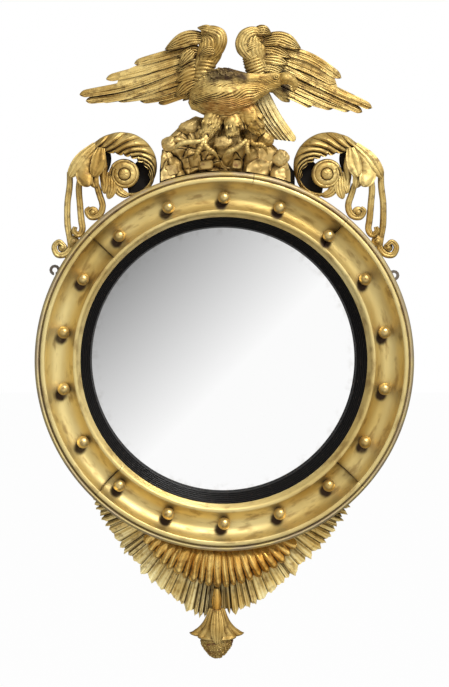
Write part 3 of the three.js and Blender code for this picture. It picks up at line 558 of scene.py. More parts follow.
def moulding_section():
    """The front moulding in radius and depth: sight edge, bead, deep hollow, flat band and outer reed."""
    bead = [(SIGHT_RADIUS, SHOULDER), (SIGHT_RADIUS, 39.5), (249.5, 41.5), (251, 46), (252.5, 49.5),
            (255, 52), (258, 52.8), (260.4, 52.0), (261.6, 49.8), (262.4, 46.4), (263.4, 45.4)]
    hollow = arc(HOLLOW_AT, HOLLOW_RADIUS - CLEARANCE, 27, 168, 26)
    lip = [(308.2, 61.6), (308.4, 63.2), (309.4, 64), (314.6, 64), (315.6, 63.2), (316.2, 59.6),
           (317.2, 57.4)]
    reed = [(318.3, 57.8), (319.6, 59.8), (321.8, 60.4), (323.6, 59.2), (325.2, 57.2), (326.1, 54.6),
            (326.2, 52), (325.2, 49.6), (CARCASS_RADIUS, 48.6), (CARCASS_RADIUS, 30),
            (CARCASS_RADIUS, FRAME_SEAT)]
    back = [(290, FRAME_SEAT), (SLIP_OUTER + 1, FRAME_SEAT), (SLIP_OUTER + 1, 26), (SLIP_OUTER + 1, SHOULDER)]
    return np.vstack([bead, hollow, lip, reed, back])


def frame_segment(start, end, seed):
    """One of the four joined lengths of the moulding, slightly out of true, with worn ends."""
    section = moulding_section()
    angles = np.linspace(start + HALF_JOINT, end - HALF_JOINT, 150)
    first, last = angles[0], angles[-1]
    angles = np.concatenate([[first, first + ARRIS], angles[1:-1], [last - ARRIS, last]])
    turn, radius = np.meshgrid(angles, section[:, 0], indexing="ij")
    depth = np.broadcast_to(section[:, 1], radius.shape)
    front = step(BACK_THICKNESS + 4, SHOULDER + 4, depth)
    sag = 0.35 * unevenness(seed, turn / 9, radius / 20) + 0.12 * unevenness(seed + 1, turn / 1.6, radius / 5)
    worn = np.zeros(len(angles))
    worn[[0, -1]] = WORN_END
    depth = depth + front * (sag - worn[:, None])
    on_reed = step(BAND_END - 1, BAND_END + 5, radius) * front
    nick = np.clip(unevenness(seed + 2, turn / 1.1) - 0.55, 0, 1)
    radius = radius - on_reed * (1.3 * nick + 0.1)
    return Carving().loft(on_frame(turn, radius, depth))


def round_frame():
    """The four lengths of the moulding, between the joints."""
    spans = zip(FRONT_JOINTS, (*FRONT_JOINTS[1:], FRONT_JOINTS[0] + 360))
    for i, (start, end) in enumerate(spans):
        name = f"frame_segment_{i + 1}"
        mesh = frame_segment(start, end, 10 * i).mesh(name, 40)
        piece(f"gilt_moulding_{i + 1}", mesh, FRAME_GOLD, "gilt_frame", name)


def reeded_slip():
    """The black slip, a run of round reeds that step down to the glass."""
    back = FRAME_SEAT
    top = SHOULDER - CLEARANCE
    outer, low = SIGHT_RADIUS - CLEARANCE, back + SLIP_FOOT
    section = [(SLIP_OUTER, back), (SLIP_OUTER, top), (SIGHT_RADIUS + 1, top)]
    for i in range(SLIP_REEDS):
        for s in np.linspace(0, 1, 8, endpoint=False):
            t = (i + s) / SLIP_REEDS
            slope = top - REED_FALL - t * (top - REED_FALL - low)
            depth = slope + REED_SWELL * math.sin(math.pi * s) - REED_SINK
            section.append((outer - t * (outer - SLIP_INNER), depth))
    section += [(SLIP_INNER, low - 0.6), (SLIP_INNER, back)]
    section = np.array(section)
    turn, radius = np.meshgrid(np.linspace(0, 360, 360, endpoint=False), section[:, 0], indexing="ij")
    depth = np.broadcast_to(section[:, 1], radius.shape)
    nick = np.clip(unevenness(5, turn / 1.3, radius / 2) - 0.62, 0, 1) * step(back + 2, back + 5, depth)
    carving = Carving().ring(on_frame(turn, radius, depth - 1.6 * nick))
    piece("reeded_slip", carving.mesh("ebonised_slip", 60), EBONY, "ebonised", "ebonised_slip")


def convex_glass():
    """The domed glass, of even thickness."""
    sphere = (GLASS_RADIUS**2 + GLASS_RISE**2) / (2 * GLASS_RISE)
    radius = GLASS_RADIUS * np.sin(np.linspace(0, math.pi / 2, 40))
    dome = GLASS_EDGE + np.sqrt(sphere**2 - radius**2) - (sphere - GLASS_RISE)
    front = np.stack([radius, dome + GLASS_THICKNESS], axis=-1)[1:]
    back = np.stack([radius, dome], axis=-1)[1:]
    section = np.vstack([front, back[::-1]])
    turn = np.linspace(0, 360, 180, endpoint=False)
    grid = on_frame(turn[None, :], section[:, 0, None], section[:, 1, None])
    mesh = Carving().loft(grid).mesh("mirror_glass", 30)
    piece("convex_glass", mesh, MIRROR, "silvered_glass", "mirror_glass")


# ---- Repeats made by geometry nodes -------------------------------------------------------------------


class Recipe(Wiring):
    """A geometry node tree under construction, with named inputs for its sizes."""

    def __init__(self, name, **sizes):
        self.tree = bpy.data.node_groups.new(name, "GeometryNodeTree")
        self.tree.interface.new_socket("Geometry", in_out="INPUT", socket_type="NodeSocketGeometry")
        self.tree.interface.new_socket("Geometry", in_out="OUTPUT", socket_type="NodeSocketGeometry")
        self.sizes = sizes
        self.sockets = {}
        for label, value in sizes.items():
            kind = "NodeSocketInt" if isinstance(value, int) else "NodeSocketFloat"
            socket = self.tree.interface.new_socket(label, in_out="INPUT", socket_type=kind)
            self.sockets[label] = socket.identifier
        self.inputs = self.tree.nodes.new("NodeGroupInput")

    def given(self, label):
        """What comes into the tree: the geometry or one of the sizes."""
        return Wire(self, self.inputs.outputs[label])

    def mesh(self, instances, material, base, name):
        """Ends the tree, runs it on a base mesh and returns the plain mesh that it makes."""
        real = self.node("GeometryNodeRealizeInstances", {}, {"Geometry": instances})
        painted = self.node("GeometryNodeSetMaterial", {}, {"Geometry": real, "Material": material})
        self.node("NodeGroupOutput", {}, {0: painted})
        carrier = bpy.data.objects.new(name, base)
        bpy.context.collection.objects.link(carrier)
        modifier = carrier.modifiers.new(name, "NODES")
        modifier.node_group = self.tree
        for label, identifier in self.sockets.items():
            modifier[identifier] = self.sizes[label]
        graph = bpy.context.evaluated_depsgraph_get()
        made = bpy.data.meshes.new_from_object(carrier.evaluated_get(graph), depsgraph=graph)
        carrier.modifiers.clear()
        bpy.data.objects.remove(carrier)
        return made


def gilt_balls():
    """Eighteen turned balls in the hollow, one every twenty degrees."""
    recipe = Recipe("balls", Count=BALL_COUNT, Circle=BALL_CIRCLE * MM, Radius=(BALL_RADIUS - 0.1) * MM)
    circle = recipe.node("GeometryNodeMeshCircle", {},
                         {"Vertices": recipe.given("Count"), "Radius": recipe.given("Circle")})
    ball = recipe.node("GeometryNodeMeshUVSphere", {},
                       {"Segments": 32, "Rings": 20, "Radius": recipe.given("Radius")})
    ball = recipe.node("GeometryNodeSetShadeSmooth", {}, {"Geometry": ball})
    balls = recipe.node("GeometryNodeInstanceOnPoints", {}, {"Points": circle, "Instance": ball})
    stance = {"Rotation": (math.pi / 2, math.pi / 2, 0), "Translation": (0, -BALL_DEPTH * MM, 0)}
    upright = recipe.node("GeometryNodeTransform", {}, {"Geometry": balls, **stance})
    mesh = recipe.mesh(upright, BALL_GOLD, bpy.data.meshes.new("balls"), "balls")
    piece("gilt_balls", mesh, BALL_GOLD, "gilt_frame", *[f"ball_{i + 1:02d}" for i in range(BALL_COUNT)])


# ---- Feathers -----------------------------------------------------------------------------------------


def rounded(t, end, bluntness, fullness):
    """The width of a leaf along its length: 1 up to its end, where it rounds off to nearly 0."""
    return np.clip(1 - np.clip((t - 1 + end) / end, 0, 1) ** bluntness, 0.01, 1) ** fullness


FEATHER_FALL = 5  # how far the tip lies behind the root
FEATHER_THICKNESS = 7
FEATHER_TILT = 3.0
COVERT_FALL = 6
COVERT_THICKNESS = 11
COVERT_TILT = 2
BACK_PLACES = np.array([0.9, 0.3, -0.3, -0.9])  # across the back of a feather


def feather(carving, root, middle, tip, width, depth, seed, lower, round_tip=0.9, grain=1.5):
    """A long flight feather: a raised shaft, slanting barbs and a lower edge proud of the next feather.

    lower is 1 or -1, the side on which the lower edge lies.
    """
    path = [(*root, depth), (*middle, depth), (*tip, depth)]
    length = path_length(path)
    t = 1 - (1 - np.linspace(0, 1, int(length / 1.25) + 10)) ** 1.15
    half = width / 2 * through([0.9, 1, 1.04, 1, 0.86], t) * rounded(t, round_tip * width / length, 2.2, 0.7)
    s = np.linspace(-1, 1, 25)
    x = half[:, None] * s
    run = (t * length)[:, None]
    beside = x - 0.7 * unevenness(seed + 1, run / 26)
    shaft = 1.1 * peak(beside, 1.2) - 0.9 * peak(np.abs(beside) - 2.4, 0.9)
    barb = np.cos(TURN * (run - 1.1 * np.abs(x)) / 3.1) * step(1.2, 2.4, np.abs(x))
    strand = unevenness(seed + 2, run / 40, x / 1.1)
    front = 1.5 * (1 - s**2) + shaft - 0.2 * grain * barb + grain * strand
    front = front + 0.9 * unevenness(seed + 3, run / 14, x / 4)
    rim = 1.1 * peak(1 - s * lower, 0.16) - 0.8 * peak(0.66 - s * lower, 0.12)
    drop = -FEATHER_FALL * t[:, None] ** 2
    front = front * step(0, 0.12, 1.02 - np.abs(s)) + rim + FEATHER_TILT * lower * s + drop
    back = -FEATHER_THICKNESS * (1 - 0.45 * t[:, None]) + FEATHER_TILT * lower * BACK_PLACES + drop
    sides = np.hstack([x, half[:, None] * BACK_PLACES])
    carving.loft(along_path(path, t, sides, np.hstack([front, back])))


def covert(carving, root, middle, tip, width, depth, seed, lower, grooves):
    """A short leaf-shaped covert, with a few grooves that fan out along it and a rolled edge."""
    path = [(*root, depth), (*middle, depth), (*tip, depth)]
    length = path_length(path)
    t = 1 - (1 - np.linspace(0, 1, int(length / 1.2) + 16)) ** 1.3
    half = width / 2 * through([0.8, 1.02, 1.12, 1.06, 0.92], t) * rounded(t, 1.25 * width / length, 1.7, 0.8)
    s = np.linspace(-1, 1, 31)
    x = half[:, None] * s
    run = (t * length)[:, None]
    bend = s + 0.14 * unevenness(seed, run / 16) + 0.25 * (1 - t[:, None]) * s
    fine = np.cos(TURN * (run - 1.3 * np.abs(x)) / 2.9)
    front = 1.2 * (1 - s**2) + 2.6 * ripple(grooves * (bend + 1) / 2) + 0.15 * fine
    front = front + 0.7 * unevenness(seed + 1, run / 9, x / 5)
    rim = 1.3 * peak(1 - np.abs(s), 0.13) + 1.2 * step(0.84, 0.96, t)[:, None]
    drop = -COVERT_FALL * t[:, None] ** 2 + 3 * np.sin(math.pi * t)[:, None]
    front = front * step(0, 0.1, 1.01 - np.abs(s)) + rim + COVERT_TILT * lower * s + drop
    back = -COVERT_THICKNESS + COVERT_TILT * lower * BACK_PLACES + drop + 2 * t[:, None] * np.ones(4)
    sides = np.hstack([x, half[:, None] * BACK_PLACES])
    carving.loft(along_path(path, t, sides, np.hstack([front, back])))


def mass(points, half_widths, half_depths, carved, steps=90, sides=72):
    """Rings round a path: an oval body, moved in and out by carved(t, angle). Most sides face forwards."""
    t = np.linspace(0, 1, steps)
    ahead = int(0.75 * sides)
    angle = np.concatenate([np.linspace(0, math.pi, ahead, endpoint=False),
                            np.linspace(math.pi, TURN, sides - ahead, endpoint=False)])
    lift = carved(t[:, None], angle[None, :])
    width = np.maximum(through(half_widths, t)[:, None] + lift, 0.6)
    depth = np.maximum(through(half_depths, t)[:, None] + lift, 0.6)
    return along_path(points, t, width * np.cos(angle), depth * np.sin(angle))


def plain(t, angle):
    """No relief."""
    return 0 * t * angle


def strands(count, height, seed, waves=0.25):
    """A relief of strands that run along a mass."""
    def lift(t, angle):
        flow = count * angle / TURN + waves * unevenness(seed, t * 5, np.cos(angle), np.sin(angle))
        ridge = ripple(flow)
        size = 0.8 + 0.6 * unevenness(seed + 2, t * 6, 3 * np.cos(angle), 3 * np.sin(angle))
        rough = unevenness(seed + 1, t * 12, 2 * np.cos(angle), 2 * np.sin(angle))
        return height * size * (ridge - 0.6) + 0.35 * height * rough

    return lift


def ribs(count, height, seed):
    """A relief of wavy ribs that run across a mass."""
    def lift(t, angle):
        wave = 0.4 * np.cos(angle) + 0.35 * unevenness(seed, t * 7, np.cos(angle), np.sin(angle))
        ridge = ripple(t * count + wave)
        return height * (ridge - 0.6) * step(0, 0.04, t) * step(1, 0.96, t)

    return lift


# Flight feathers and coverts: three points of x and z from root to tip, width, depth and, for a covert,
# its grooves. The web has its two inner corners first.
LEFT_WING = {
    "flight": [
        ((-62, 541), (-111, 526), (-155, 514), 15, 34),
        ((-64, 525), (-131, 505), (-204, 487), 16, 35),
        ((-64, 512), (-162, 477), (-250, 460), 16, 36),
        ((-64, 498), (-162, 461), (-239, 449), 15, 37),
        ((-64, 487), (-143, 463), (-212, 449), 14, 38),
        ((-64, 477), (-124, 460), (-185, 450), 14, 39),
        ((-62, 468), (-105, 456), (-145, 449), 15, 40),
        ((-59, 462), (-88, 453), (-113, 444), 14, 41),
    ],
    "web": ((-45, 558), (-45, 460), (-179, 498), (-193, 453)),
    "coverts": [
        ((-31, 555), (-62, 556), (-102, 538), 24, 44, 5),
        ((-35, 532), (-55, 536), (-80, 525), 15, 40, 3),
        ((-42, 515), (-59, 512), (-83, 499), 17, 41, 3),
        ((-54, 534), (-65, 523), (-77, 508), 19, 49, 4),
        ((-42, 498), (-62, 494), (-83, 482), 22, 45, 3),
        ((-45, 482), (-66, 472), (-85, 456), 20, 46, 4),
        ((-38, 472), (-55, 462), (-71, 449), 17, 44, 4),
        ((-17, 534), (-31, 532), (-45, 524), 19, 57, 5),
        ((-17, 567), (-31, 571), (-46, 574), 13, 55, 3),
    ],
    "cap": [(-35, 563, 44), (-26, 553, 46), (-24, 536, 46), (-31, 519, 44), (-42, 501, 42)],
    "knob": [(-40, 568, 50), (-23, 568, 52), (-9, 561, 53), (-7, 547, 53), (-14, 531, 52), (-28, 521, 50)],
    "shoulder": [(-29, 543, 40), (-29, 522, 41), (-34, 502, 40), (-41, 481, 38), (-52, 462, 36)],
    "shoulder_widths": [13, 17, 17, 17, 8],
    "shoulder_depths": [12, 16, 17, 17, 8],
    "lower": 1,
    "seed": 100,
}

RIGHT_WING = {
    "flight": [
        ((83, 543), (148, 524), (204, 489), 18, 34),
        ((83, 529), (145, 505), (195, 480), 16, 35),
        ((83, 517), (174, 475), (257, 437), 16, 36),
        ((83, 503), (174, 460), (240, 430), 15, 37),
        ((83, 491), (157, 455), (218, 432), 14, 38),
        ((83, 480), (139, 453), (189, 436), 15, 39),
        ((83, 470), (126, 453), (152, 439), 14, 40),
        ((83, 474), (98, 460), (114, 447), 17, 41),
    ],
    "web": ((65, 560), (65, 467), (189, 498), (208, 437)),
    "coverts": [
        ((62, 551), (98, 555), (133, 539), 23, 44, 5),
        ((58, 536), (86, 537), (115, 524), 19, 42, 4),
        ((65, 520), (88, 519), (110, 512), 16, 46, 3),
        ((55, 503), (79, 505), (107, 496), 16, 46, 4),
        ((58, 487), (79, 487), (103, 479), 17, 43, 3),
        ((33, 536), (48, 546), (67, 548), 18, 55, 5),
        ((55, 568), (69, 568), (82, 562), 19, 55, 4),
    ],
    "cap": [(65, 560, 44), (53, 553, 46), (50, 537, 46), (55, 522, 44), (65, 505, 42)],
    "knob": [(65, 564, 50), (51, 566, 52), (36, 559, 53), (30, 545, 53), (35, 531, 52), (46, 521, 50)],
    "shoulder": [(43, 541, 40), (50, 524, 41), (54, 507, 40), (59, 490, 38), (66, 471, 36)],
    "shoulder_widths": [14, 18, 18, 16, 9],
    "shoulder_depths": [12, 16, 17, 16, 8],
    "lower": -1,
    "seed": 200,
}
CAP_WIDTHS = [8, 17, 21, 19, 12]
CAP_DEPTHS = [8, 13, 14, 13, 9]
KNOB_WIDTHS = [6, 9, 11, 11, 9.5, 6]
KNOB_DEPTHS = [7, 10, 11, 11, 9, 7]
WEB_DEPTH = 33.0
WEB_THICKNESS = 4


def web(corners):
    """The thin back of a wing, behind its feathers."""
    upper, lower, far_upper, far_lower = (np.array(corner, float) for corner in corners)
    t = np.linspace(0, 1, 12)[:, None, None]
    v = np.linspace(0, 1, 16)[None, :, None]
    flat = (upper * (1 - v) + lower * v) * (1 - t) + (far_upper * (1 - v) + far_lower * v) * t
    front = np.concatenate([flat[..., :1], np.full((12, 16, 1), -WEB_DEPTH), flat[..., 1:]], axis=-1)
    return np.concatenate([front, (front + [0, WEB_THICKNESS, 0])[:, ::-1]], axis=1)


def wing(form):
    """Flight feathers under rows of coverts, a ribbed shoulder and a curled wrist."""
    carving = Carving()
    seed, lower = form["seed"], form["lower"]
    shoulder = [form[part] for part in ("shoulder", "shoulder_widths", "shoulder_depths")]
    carving.loft(mass(*shoulder, ribs(13, 2.4, seed), 150, 72))
    carving.loft(mass(form["cap"], CAP_WIDTHS, CAP_DEPTHS, strands(17, 2.2, seed + 2, 0.6), 90, 110))
    carving.loft(mass(form["knob"], KNOB_WIDTHS, KNOB_DEPTHS, strands(11, 1.9, seed + 1), 80, 88))
    carving.loft(web(form["web"]))
    for i, (root, middle, tip, width, depth) in enumerate(form["flight"]):
        feather(carving, root, middle, tip, width, depth, seed + 10 * i, lower)
    for i, (root, middle, tip, width, depth, grooves) in enumerate(form["coverts"]):
        covert(carving, root, middle, tip, width, depth, seed + 7 * i + 3, lower, grooves)
    return carving


# ---- Eagle --------------------------------------------------------------------------------------------

TRUNK = [(-59, 439, 48), (-43, 447, 50), (-21, 454, 54), (4, 459, 56), (28, 464, 58), (51, 471, 60),
         (71, 477, 60), (90, 483, 60), (102, 484, 60)]
TRUNK_WIDTHS = [7, 28, 43, 45, 37.5, 25, 18, 14.5, 9]
TRUNK_DEPTHS = [8, 22, 29.5, 31.5, 27.5, 20.5, 17, 15.5, 10]
THIGHS = [  # path, half widths, half depths
    ([(27, 442, 55), (46, 416, 58), (65, 390, 56)], [16, 19, 7], [12, 15, 7]),
    ([(-6, 442, 53), (-21, 411, 58), (-32, 383, 60)], [15, 16, 7], [12, 14, 8]),
    ([(13, 438, 53), (15, 409, 60), (11, 386, 61)], [14, 16, 8], [11, 14, 9]),
]
COMB = 3.7  # pitch of the strands
BEAK = [(91, 484, 58), (102, 485, 63), (112, 483, 64), (120, 475, 64), (118, 460, 64)]
BEAK_WIDTHS = [8, 10.4, 9, 6, 1.2]
BEAK_DEPTHS = [10, 12.5, 10.5, 7, 1.5]
EYE = (88, 487, 77)
EYE_RADIUS = 2.1
LID_RADII = (5.4, 2.8)  # where the lid begins and ends
LID_TURNS = 1.5
TAIL_ROOTS = (39, 453), (69, 468)  # of the first and the last feather
TAIL_TIPS = (89, 383), (123, 379)
TAIL_FEATHERS = 6


def combed(t, angle):
    """Level strands over the breast and neck, in locks that swell and fade."""
    width = through(TRUNK_WIDTHS, t)
    across = (angle - math.pi / 2) * width
    wander = 9 * unevenness(31, t * 5, across / 22) + 3 * unevenness(32, t * 15, across / 9)
    flow = (across + wander) / COMB
    strand = ripple(flow, 0.8)
    lock = np.clip(0.7 + 1.3 * unevenness(33, t * 16, across / 6), 0.05, 1.6)
    swell = 2.6 * unevenness(34, t * 9, across / 10) + 1.1 * unevenness(35, t * 26, across / 5)
    brow = 2.8 * peak(t - 0.925 + 0.02 * np.cos(angle), 0.014) * np.clip(np.sin(angle + 0.3), 0, 1)
    fade = step(0, 0.06, t)
    return fade * ((3.2 - 1.8 * t) * lock * (strand - 0.7) + swell * step(0.85, 0.4, t) - 1.5) - brow


def beak(carving):
    """The hooked beak, with a groove for the mouth and a nostril."""
    def smooth(t, angle):
        front = np.clip(np.sin(angle), 0, 1)
        mouth = peak(np.cos(angle) + 0.55, 0.12) * front * step(0.75, 0.5, t)
        nostril = peak(t - 0.38, 0.05) * peak(np.cos(angle) - 0.3, 0.25) * front
        return 0.25 * unevenness(51, t * 8, angle) - 1.3 * mouth - 1.6 * nostril

    carving.loft(mass(BEAK, BEAK_WIDTHS, BEAK_DEPTHS, smooth, 90, 72))


def spiral_eye(carving):
    """The eye: a bead inside a rolled lid."""
    x, z, depth = EYE
    turn = np.linspace(0, 1, 60)
    angle = LID_TURNS * TURN * turn
    radius = LID_RADII[0] + (LID_RADII[1] - LID_RADII[0]) * turn
    across, up = radius * np.cos(angle), 0.85 * radius * np.sin(angle)
    path = np.stack([x + across, z + up, np.full(60, depth - 1.5)], axis=-1)
    around = np.linspace(0, TURN, 10, endpoint=False)
    sides = np.cos(around) * np.ones((60, 1))
    outs = np.sin(around) * np.ones((60, 1))
    carving.loft(along_path(path, turn, sides, outs))
    dot(carving, x, z, depth - 2.2, EYE_RADIUS)


def dot(carving, x, z, depth, radius, squash=1.0, rings=10, sides=16):
    """A small round bead, pressed flat by squash."""
    lat = np.linspace(0.12, math.pi - 0.12, rings)
    around = np.linspace(0, TURN, sides, endpoint=False)
    grid = np.stack([
        x + radius * np.sin(lat)[:, None] * np.cos(around),
        -depth - radius * squash * np.cos(lat)[:, None] * np.ones(sides),
        z + radius * np.sin(lat)[:, None] * np.sin(around),
    ], axis=-1)
    carving.loft(grid)


def plume_mesh():
    """One small body feather, 1 unit long, pointing along X and lying on XY."""
    t = np.linspace(0, 1, 11)
    s = np.linspace(-1, 1, 9)
    half = 0.5 * np.sqrt(np.clip(1 - (2 * t - 0.95) ** 4, 0.02, 1)) * (1 - 0.35 * t)
    x = np.repeat(t[:, None], 9, axis=1)
    y = half[:, None] * s
    z = 0.09 * (1 - s**2) + 0.03 * np.cos(2 * TURN * s) * np.ones((11, 1)) + 0.05 * t[:, None] ** 2
    front = np.stack([x, y, z], axis=-1)
    back = np.stack([x[:, ::4], y[:, ::-4] * 0.8, np.full((11, 3), -0.1) + 0.05 * t[:, None] ** 2], axis=-1)
    return Carving().loft(np.concatenate([front, back], axis=1) / MM).mesh("plume", 70)


def plumage(places, material, name):
    """Small feathers on a surface: places lists point, direction, normal, length and width in millimetres."""
    points, turns, sizes = [], [], []
    for point, ahead, out, length, width in places:
        out = out / np.linalg.norm(out)
        ahead = ahead - out * ahead.dot(out)
        ahead = ahead / np.linalg.norm(ahead)
        side = np.cross(out, ahead)
        turns.append(Matrix(np.stack([ahead, side, out], axis=-1).tolist()).to_euler())
        points.append(point * MM)
        sizes.append((length * MM, width * MM, length * MM))
    base = bpy.data.meshes.new(name)
    base.from_pydata([tuple(p) for p in points], [], [])
    for label, rows in (("turn", turns), ("size", sizes)):
        attribute = base.attributes.new(label, "FLOAT_VECTOR", "POINT")
        attribute.data.foreach_set("vector", np.array([tuple(row) for row in rows]).ravel())
    plume = bpy.data.objects.new("plume", plume_mesh())
    recipe = Recipe(name, Fullness=1.0)
    shape = recipe.node("GeometryNodeObjectInfo", {}, {"Object": plume}, "Geometry")
    vector = {"data_type": "FLOAT_VECTOR"}
    turn, size = (recipe.node("GeometryNodeInputNamedAttribute", vector, {"Name": label})
                  for label in ("turn", "size"))
    full = recipe.node("ShaderNodeVectorMath", {"operation": "SCALE"},
                       {0: size, "Scale": recipe.given("Fullness")})
    placed = recipe.node("GeometryNodeInstanceOnPoints", {}, {
        "Points": recipe.given("Geometry"), "Instance": shape, "Rotation": turn, "Scale": full,
    })
    mesh = recipe.mesh(placed, material, base, name)
    bpy.data.objects.remove(plume)
    return mesh


def on_mass(points, half_widths, half_depths, t, angle):
    """A point on a mass, with the directions along it and out of it."""
    def at(t, a):
        rows = np.array([t])
        width, depth = through(half_widths, rows), through(half_depths, rows)
        return along_path(points, rows, (width * np.cos(a))[:, None], (depth * np.sin(a))[:, None])[0, 0]

    here = at(t, angle)
    along = at(min(t + 0.01, 1), angle) - at(max(t - 0.01, 0), angle)
    round_it = at(t, angle + 0.02) - at(t, angle - 0.02)
    out = np.cross(along, round_it)
    middle = line_through(points, np.array([t]))[0]
    if out.dot(here - np.array([middle[0], -middle[2], middle[1]])) < 0:
        out = -out
    return here, along / np.linalg.norm(along), out / np.linalg.norm(out)


BACK_ROWS, BACK_PLUMES = 13, 7
THIGH_ROWS, THIGH_LOCKS = 2, 5


def body_plumes():
    """Overlapping scales on the upper side of the back and long locks on the thighs."""
    draw = np.random.default_rng(77)
    places = []
    for row, t in enumerate(np.linspace(0.60, 0.24, BACK_ROWS)):
        for k in range(BACK_PLUMES):
            angle = 0.05 + 0.72 * (k + 0.5 * (row % 2)) / BACK_PLUMES + draw.normal(0, 0.04)
            here, along, out = on_mass(TRUNK, TRUNK_WIDTHS, TRUNK_DEPTHS, t + draw.normal(0, 0.008), angle)
            length = draw.uniform(11, 17)
            ahead = draw.normal(0, 0.16, 3) - along
            places.append((here - out * 2.2, ahead, out, length, length * draw.uniform(0.45, 0.7)))
    for path, widths, depths in THIGHS:
        for row, t in enumerate(np.linspace(0.3, 0.55, THIGH_ROWS)):
            for k in range(THIGH_LOCKS):
                angle = math.pi * (k + 0.5 + 0.5 * (row % 2)) / (THIGH_LOCKS + 0.5)
                here, along, out = on_mass(path, widths, depths, t, angle)
                length = draw.uniform(20, 27)
                ahead = along + draw.normal(0, 0.1, 3)
                places.append((here - out * 3.4, ahead, out, length, length * 0.36))
    return places


def eagle():
    """The body with its small plumes, the two wings and the tail."""
    body = Carving()
    body.loft(mass(TRUNK, TRUNK_WIDTHS, TRUNK_DEPTHS, combed, 230, 310))
    for i, (path, widths, depths) in enumerate(THIGHS):
        body.loft(mass(path, widths, depths, strands(8, 2.6, 41 + i, 0.9), 50, 96))
    beak(body)
    spiral_eye(body)
    piece("eagle_body_carved", body.mesh("eagle_body", 60), BODY_GOLD, "gilt_carving", "eagle_body")
    piece("eagle_plumage", plumage(body_plumes(), BODY_GOLD, "eagle_plumage"), BODY_GOLD, "gilt_carving")
    for side, form in (("left", LEFT_WING), ("right", RIGHT_WING)):
        mesh = wing(form).mesh(f"eagle_wing_{side}", 60)
        piece(f"eagle_wing_{side}_carved", mesh, CARVED_GOLD, "gilt_carving", f"eagle_wing_{side}")
    tail = Carving()
    for i, t in enumerate(np.linspace(0, 1, TAIL_FEATHERS)):
        root, tip = (np.array(first) * (1 - t) + np.array(last) * t
                     for first, last in (TAIL_ROOTS, TAIL_TIPS))
        middle = (root + tip) / 2 - [1 + 3 * t, 2]
        feather(tail, root, middle, tip, 14.5, 33 + 1.2 * i, 300 + i, -1, round_tip=0.5, grain=0.6)
    piece("eagle_tail_carved", tail.mesh("eagle_tail", 60), PALE_GOLD, "gilt_carving", "eagle_tail")


# ---- Rockwork -----------------------------------------------------------------------------------------


def stone(carving, place, size, seed, cuts, turn):
    """A boulder with a few worn faces: size gives half its width, depth and height."""
    draw = np.random.default_rng(seed)
    ico = bmesh.new()
    bmesh.ops.create_icosphere(ico, subdivisions=5, radius=1)
    points = np.array([v.co[:] for v in ico.verts])
    faces = [[v.index for v in f.verts] for f in ico.faces]
    ico.free()
    for _ in range(cuts):
        out = draw.normal(0, 1, 3)
        out /= np.linalg.norm(out)
        over = np.clip(points @ out - draw.uniform(0.55, 0.85), 0, None)
        points = points - over[:, None] * out * 0.75
    rough = 0.16 * unevenness(seed + 1, *(points * 2.0).T) + 0.06 * unevenness(seed + 2, *(points * 6).T)
    rough = rough - 0.05 * np.abs(unevenness(seed + 3, *(points * 3).T)) ** 0.5
    points = points * (1 + rough[:, None]) * size
    c, s = math.cos(turn), math.sin(turn)
    x, z = points[:, 0] * c - points[:, 2] * s, points[:, 0] * s + points[:, 2] * c
    carving.add(np.stack([x, points[:, 1], z], axis=-1) + place, faces)


BOULDERS = [  # x, z, depth, half width, half height, turn in degrees
    (-4, 375, 62, 19, 12, 0), (-93, 374, 38, 15, 17, 25), (-59, 405, 40, 20, 15, 15),
    (69, 382, 42, 18, 14, -25), (97, 351, 42, 17, 17, -25), (-97, 351, 46, 9, 9, 40),
    (-36, 393, 46, 13, 11, 0), (46, 386, 48, 13, 11, 0),
]
ROCK_FOOT = 330  # radius on which the squared stones stand
BOULDER_CUTS = 5
SQUARES = [  # angle on the frame, half width, half height, distance from the wall
    (-15.3, 12, 11, 43), (-5.4, 13, 8.5, 46), (3.7, 9, 8.5, 46), (9, 14, 7.5, 42),
]


def rocks():
    """Heaped boulders and squared blocks along the frame, on the worn face of the rock."""
    carving = Carving()
    for i, (x, z, depth, width, height, turn) in enumerate(BOULDERS):
        size = (width, 0.75 * min(width, height) + 3, height)
        stone(carving, (x, -depth, z), size, 400 + 3 * i, BOULDER_CUTS, math.radians(turn))
    for i, (angle, half, tall, depth) in enumerate(SQUARES):
        block(carving, angle, ROCK_FOOT + tall, depth, half, tall, 600 + i)
    bed(carving)
    piece("rockwork_carved", carving.mesh("rockwork", 40), STONE_GOLD, "gilt_carving", "rockwork")


def block(carving, angle, radius, depth, half, tall, seed):
    """A squared stone on the frame's curve, worn at its arrises."""
    side = np.linspace(-1, 1, 11)
    loop = [(s, -1) for s in side[:-1]] + [(1, s) for s in side[:-1]]
    loop = np.array(loop + [(-s, -t) for s, t in loop])
    rings = []
    for y in np.linspace(-1, 1, 11):
        swell = 1 - 0.24 * abs(y) ** 3 - 0.12 * np.abs(loop[:, 0] * loop[:, 1]) ** 3
        across, up = loop[:, 0] * half * swell, loop[:, 1] * tall * swell
        rings.append(np.stack([across, np.full(len(loop), y * 9), up], axis=-1))
    grid = np.array(rings)
    grid = grid + 2.4 * unevenness(seed, *(grid.transpose(2, 0, 1) / 7))[..., None]
    a = math.radians(angle)
    x = grid[..., 0] * math.cos(a) + (grid[..., 2] + radius) * math.sin(a)
    z = -grid[..., 0] * math.sin(a) + (grid[..., 2] + radius) * math.cos(a)
    carving.loft(np.stack([x, grid[..., 1] - depth, z], axis=-1))


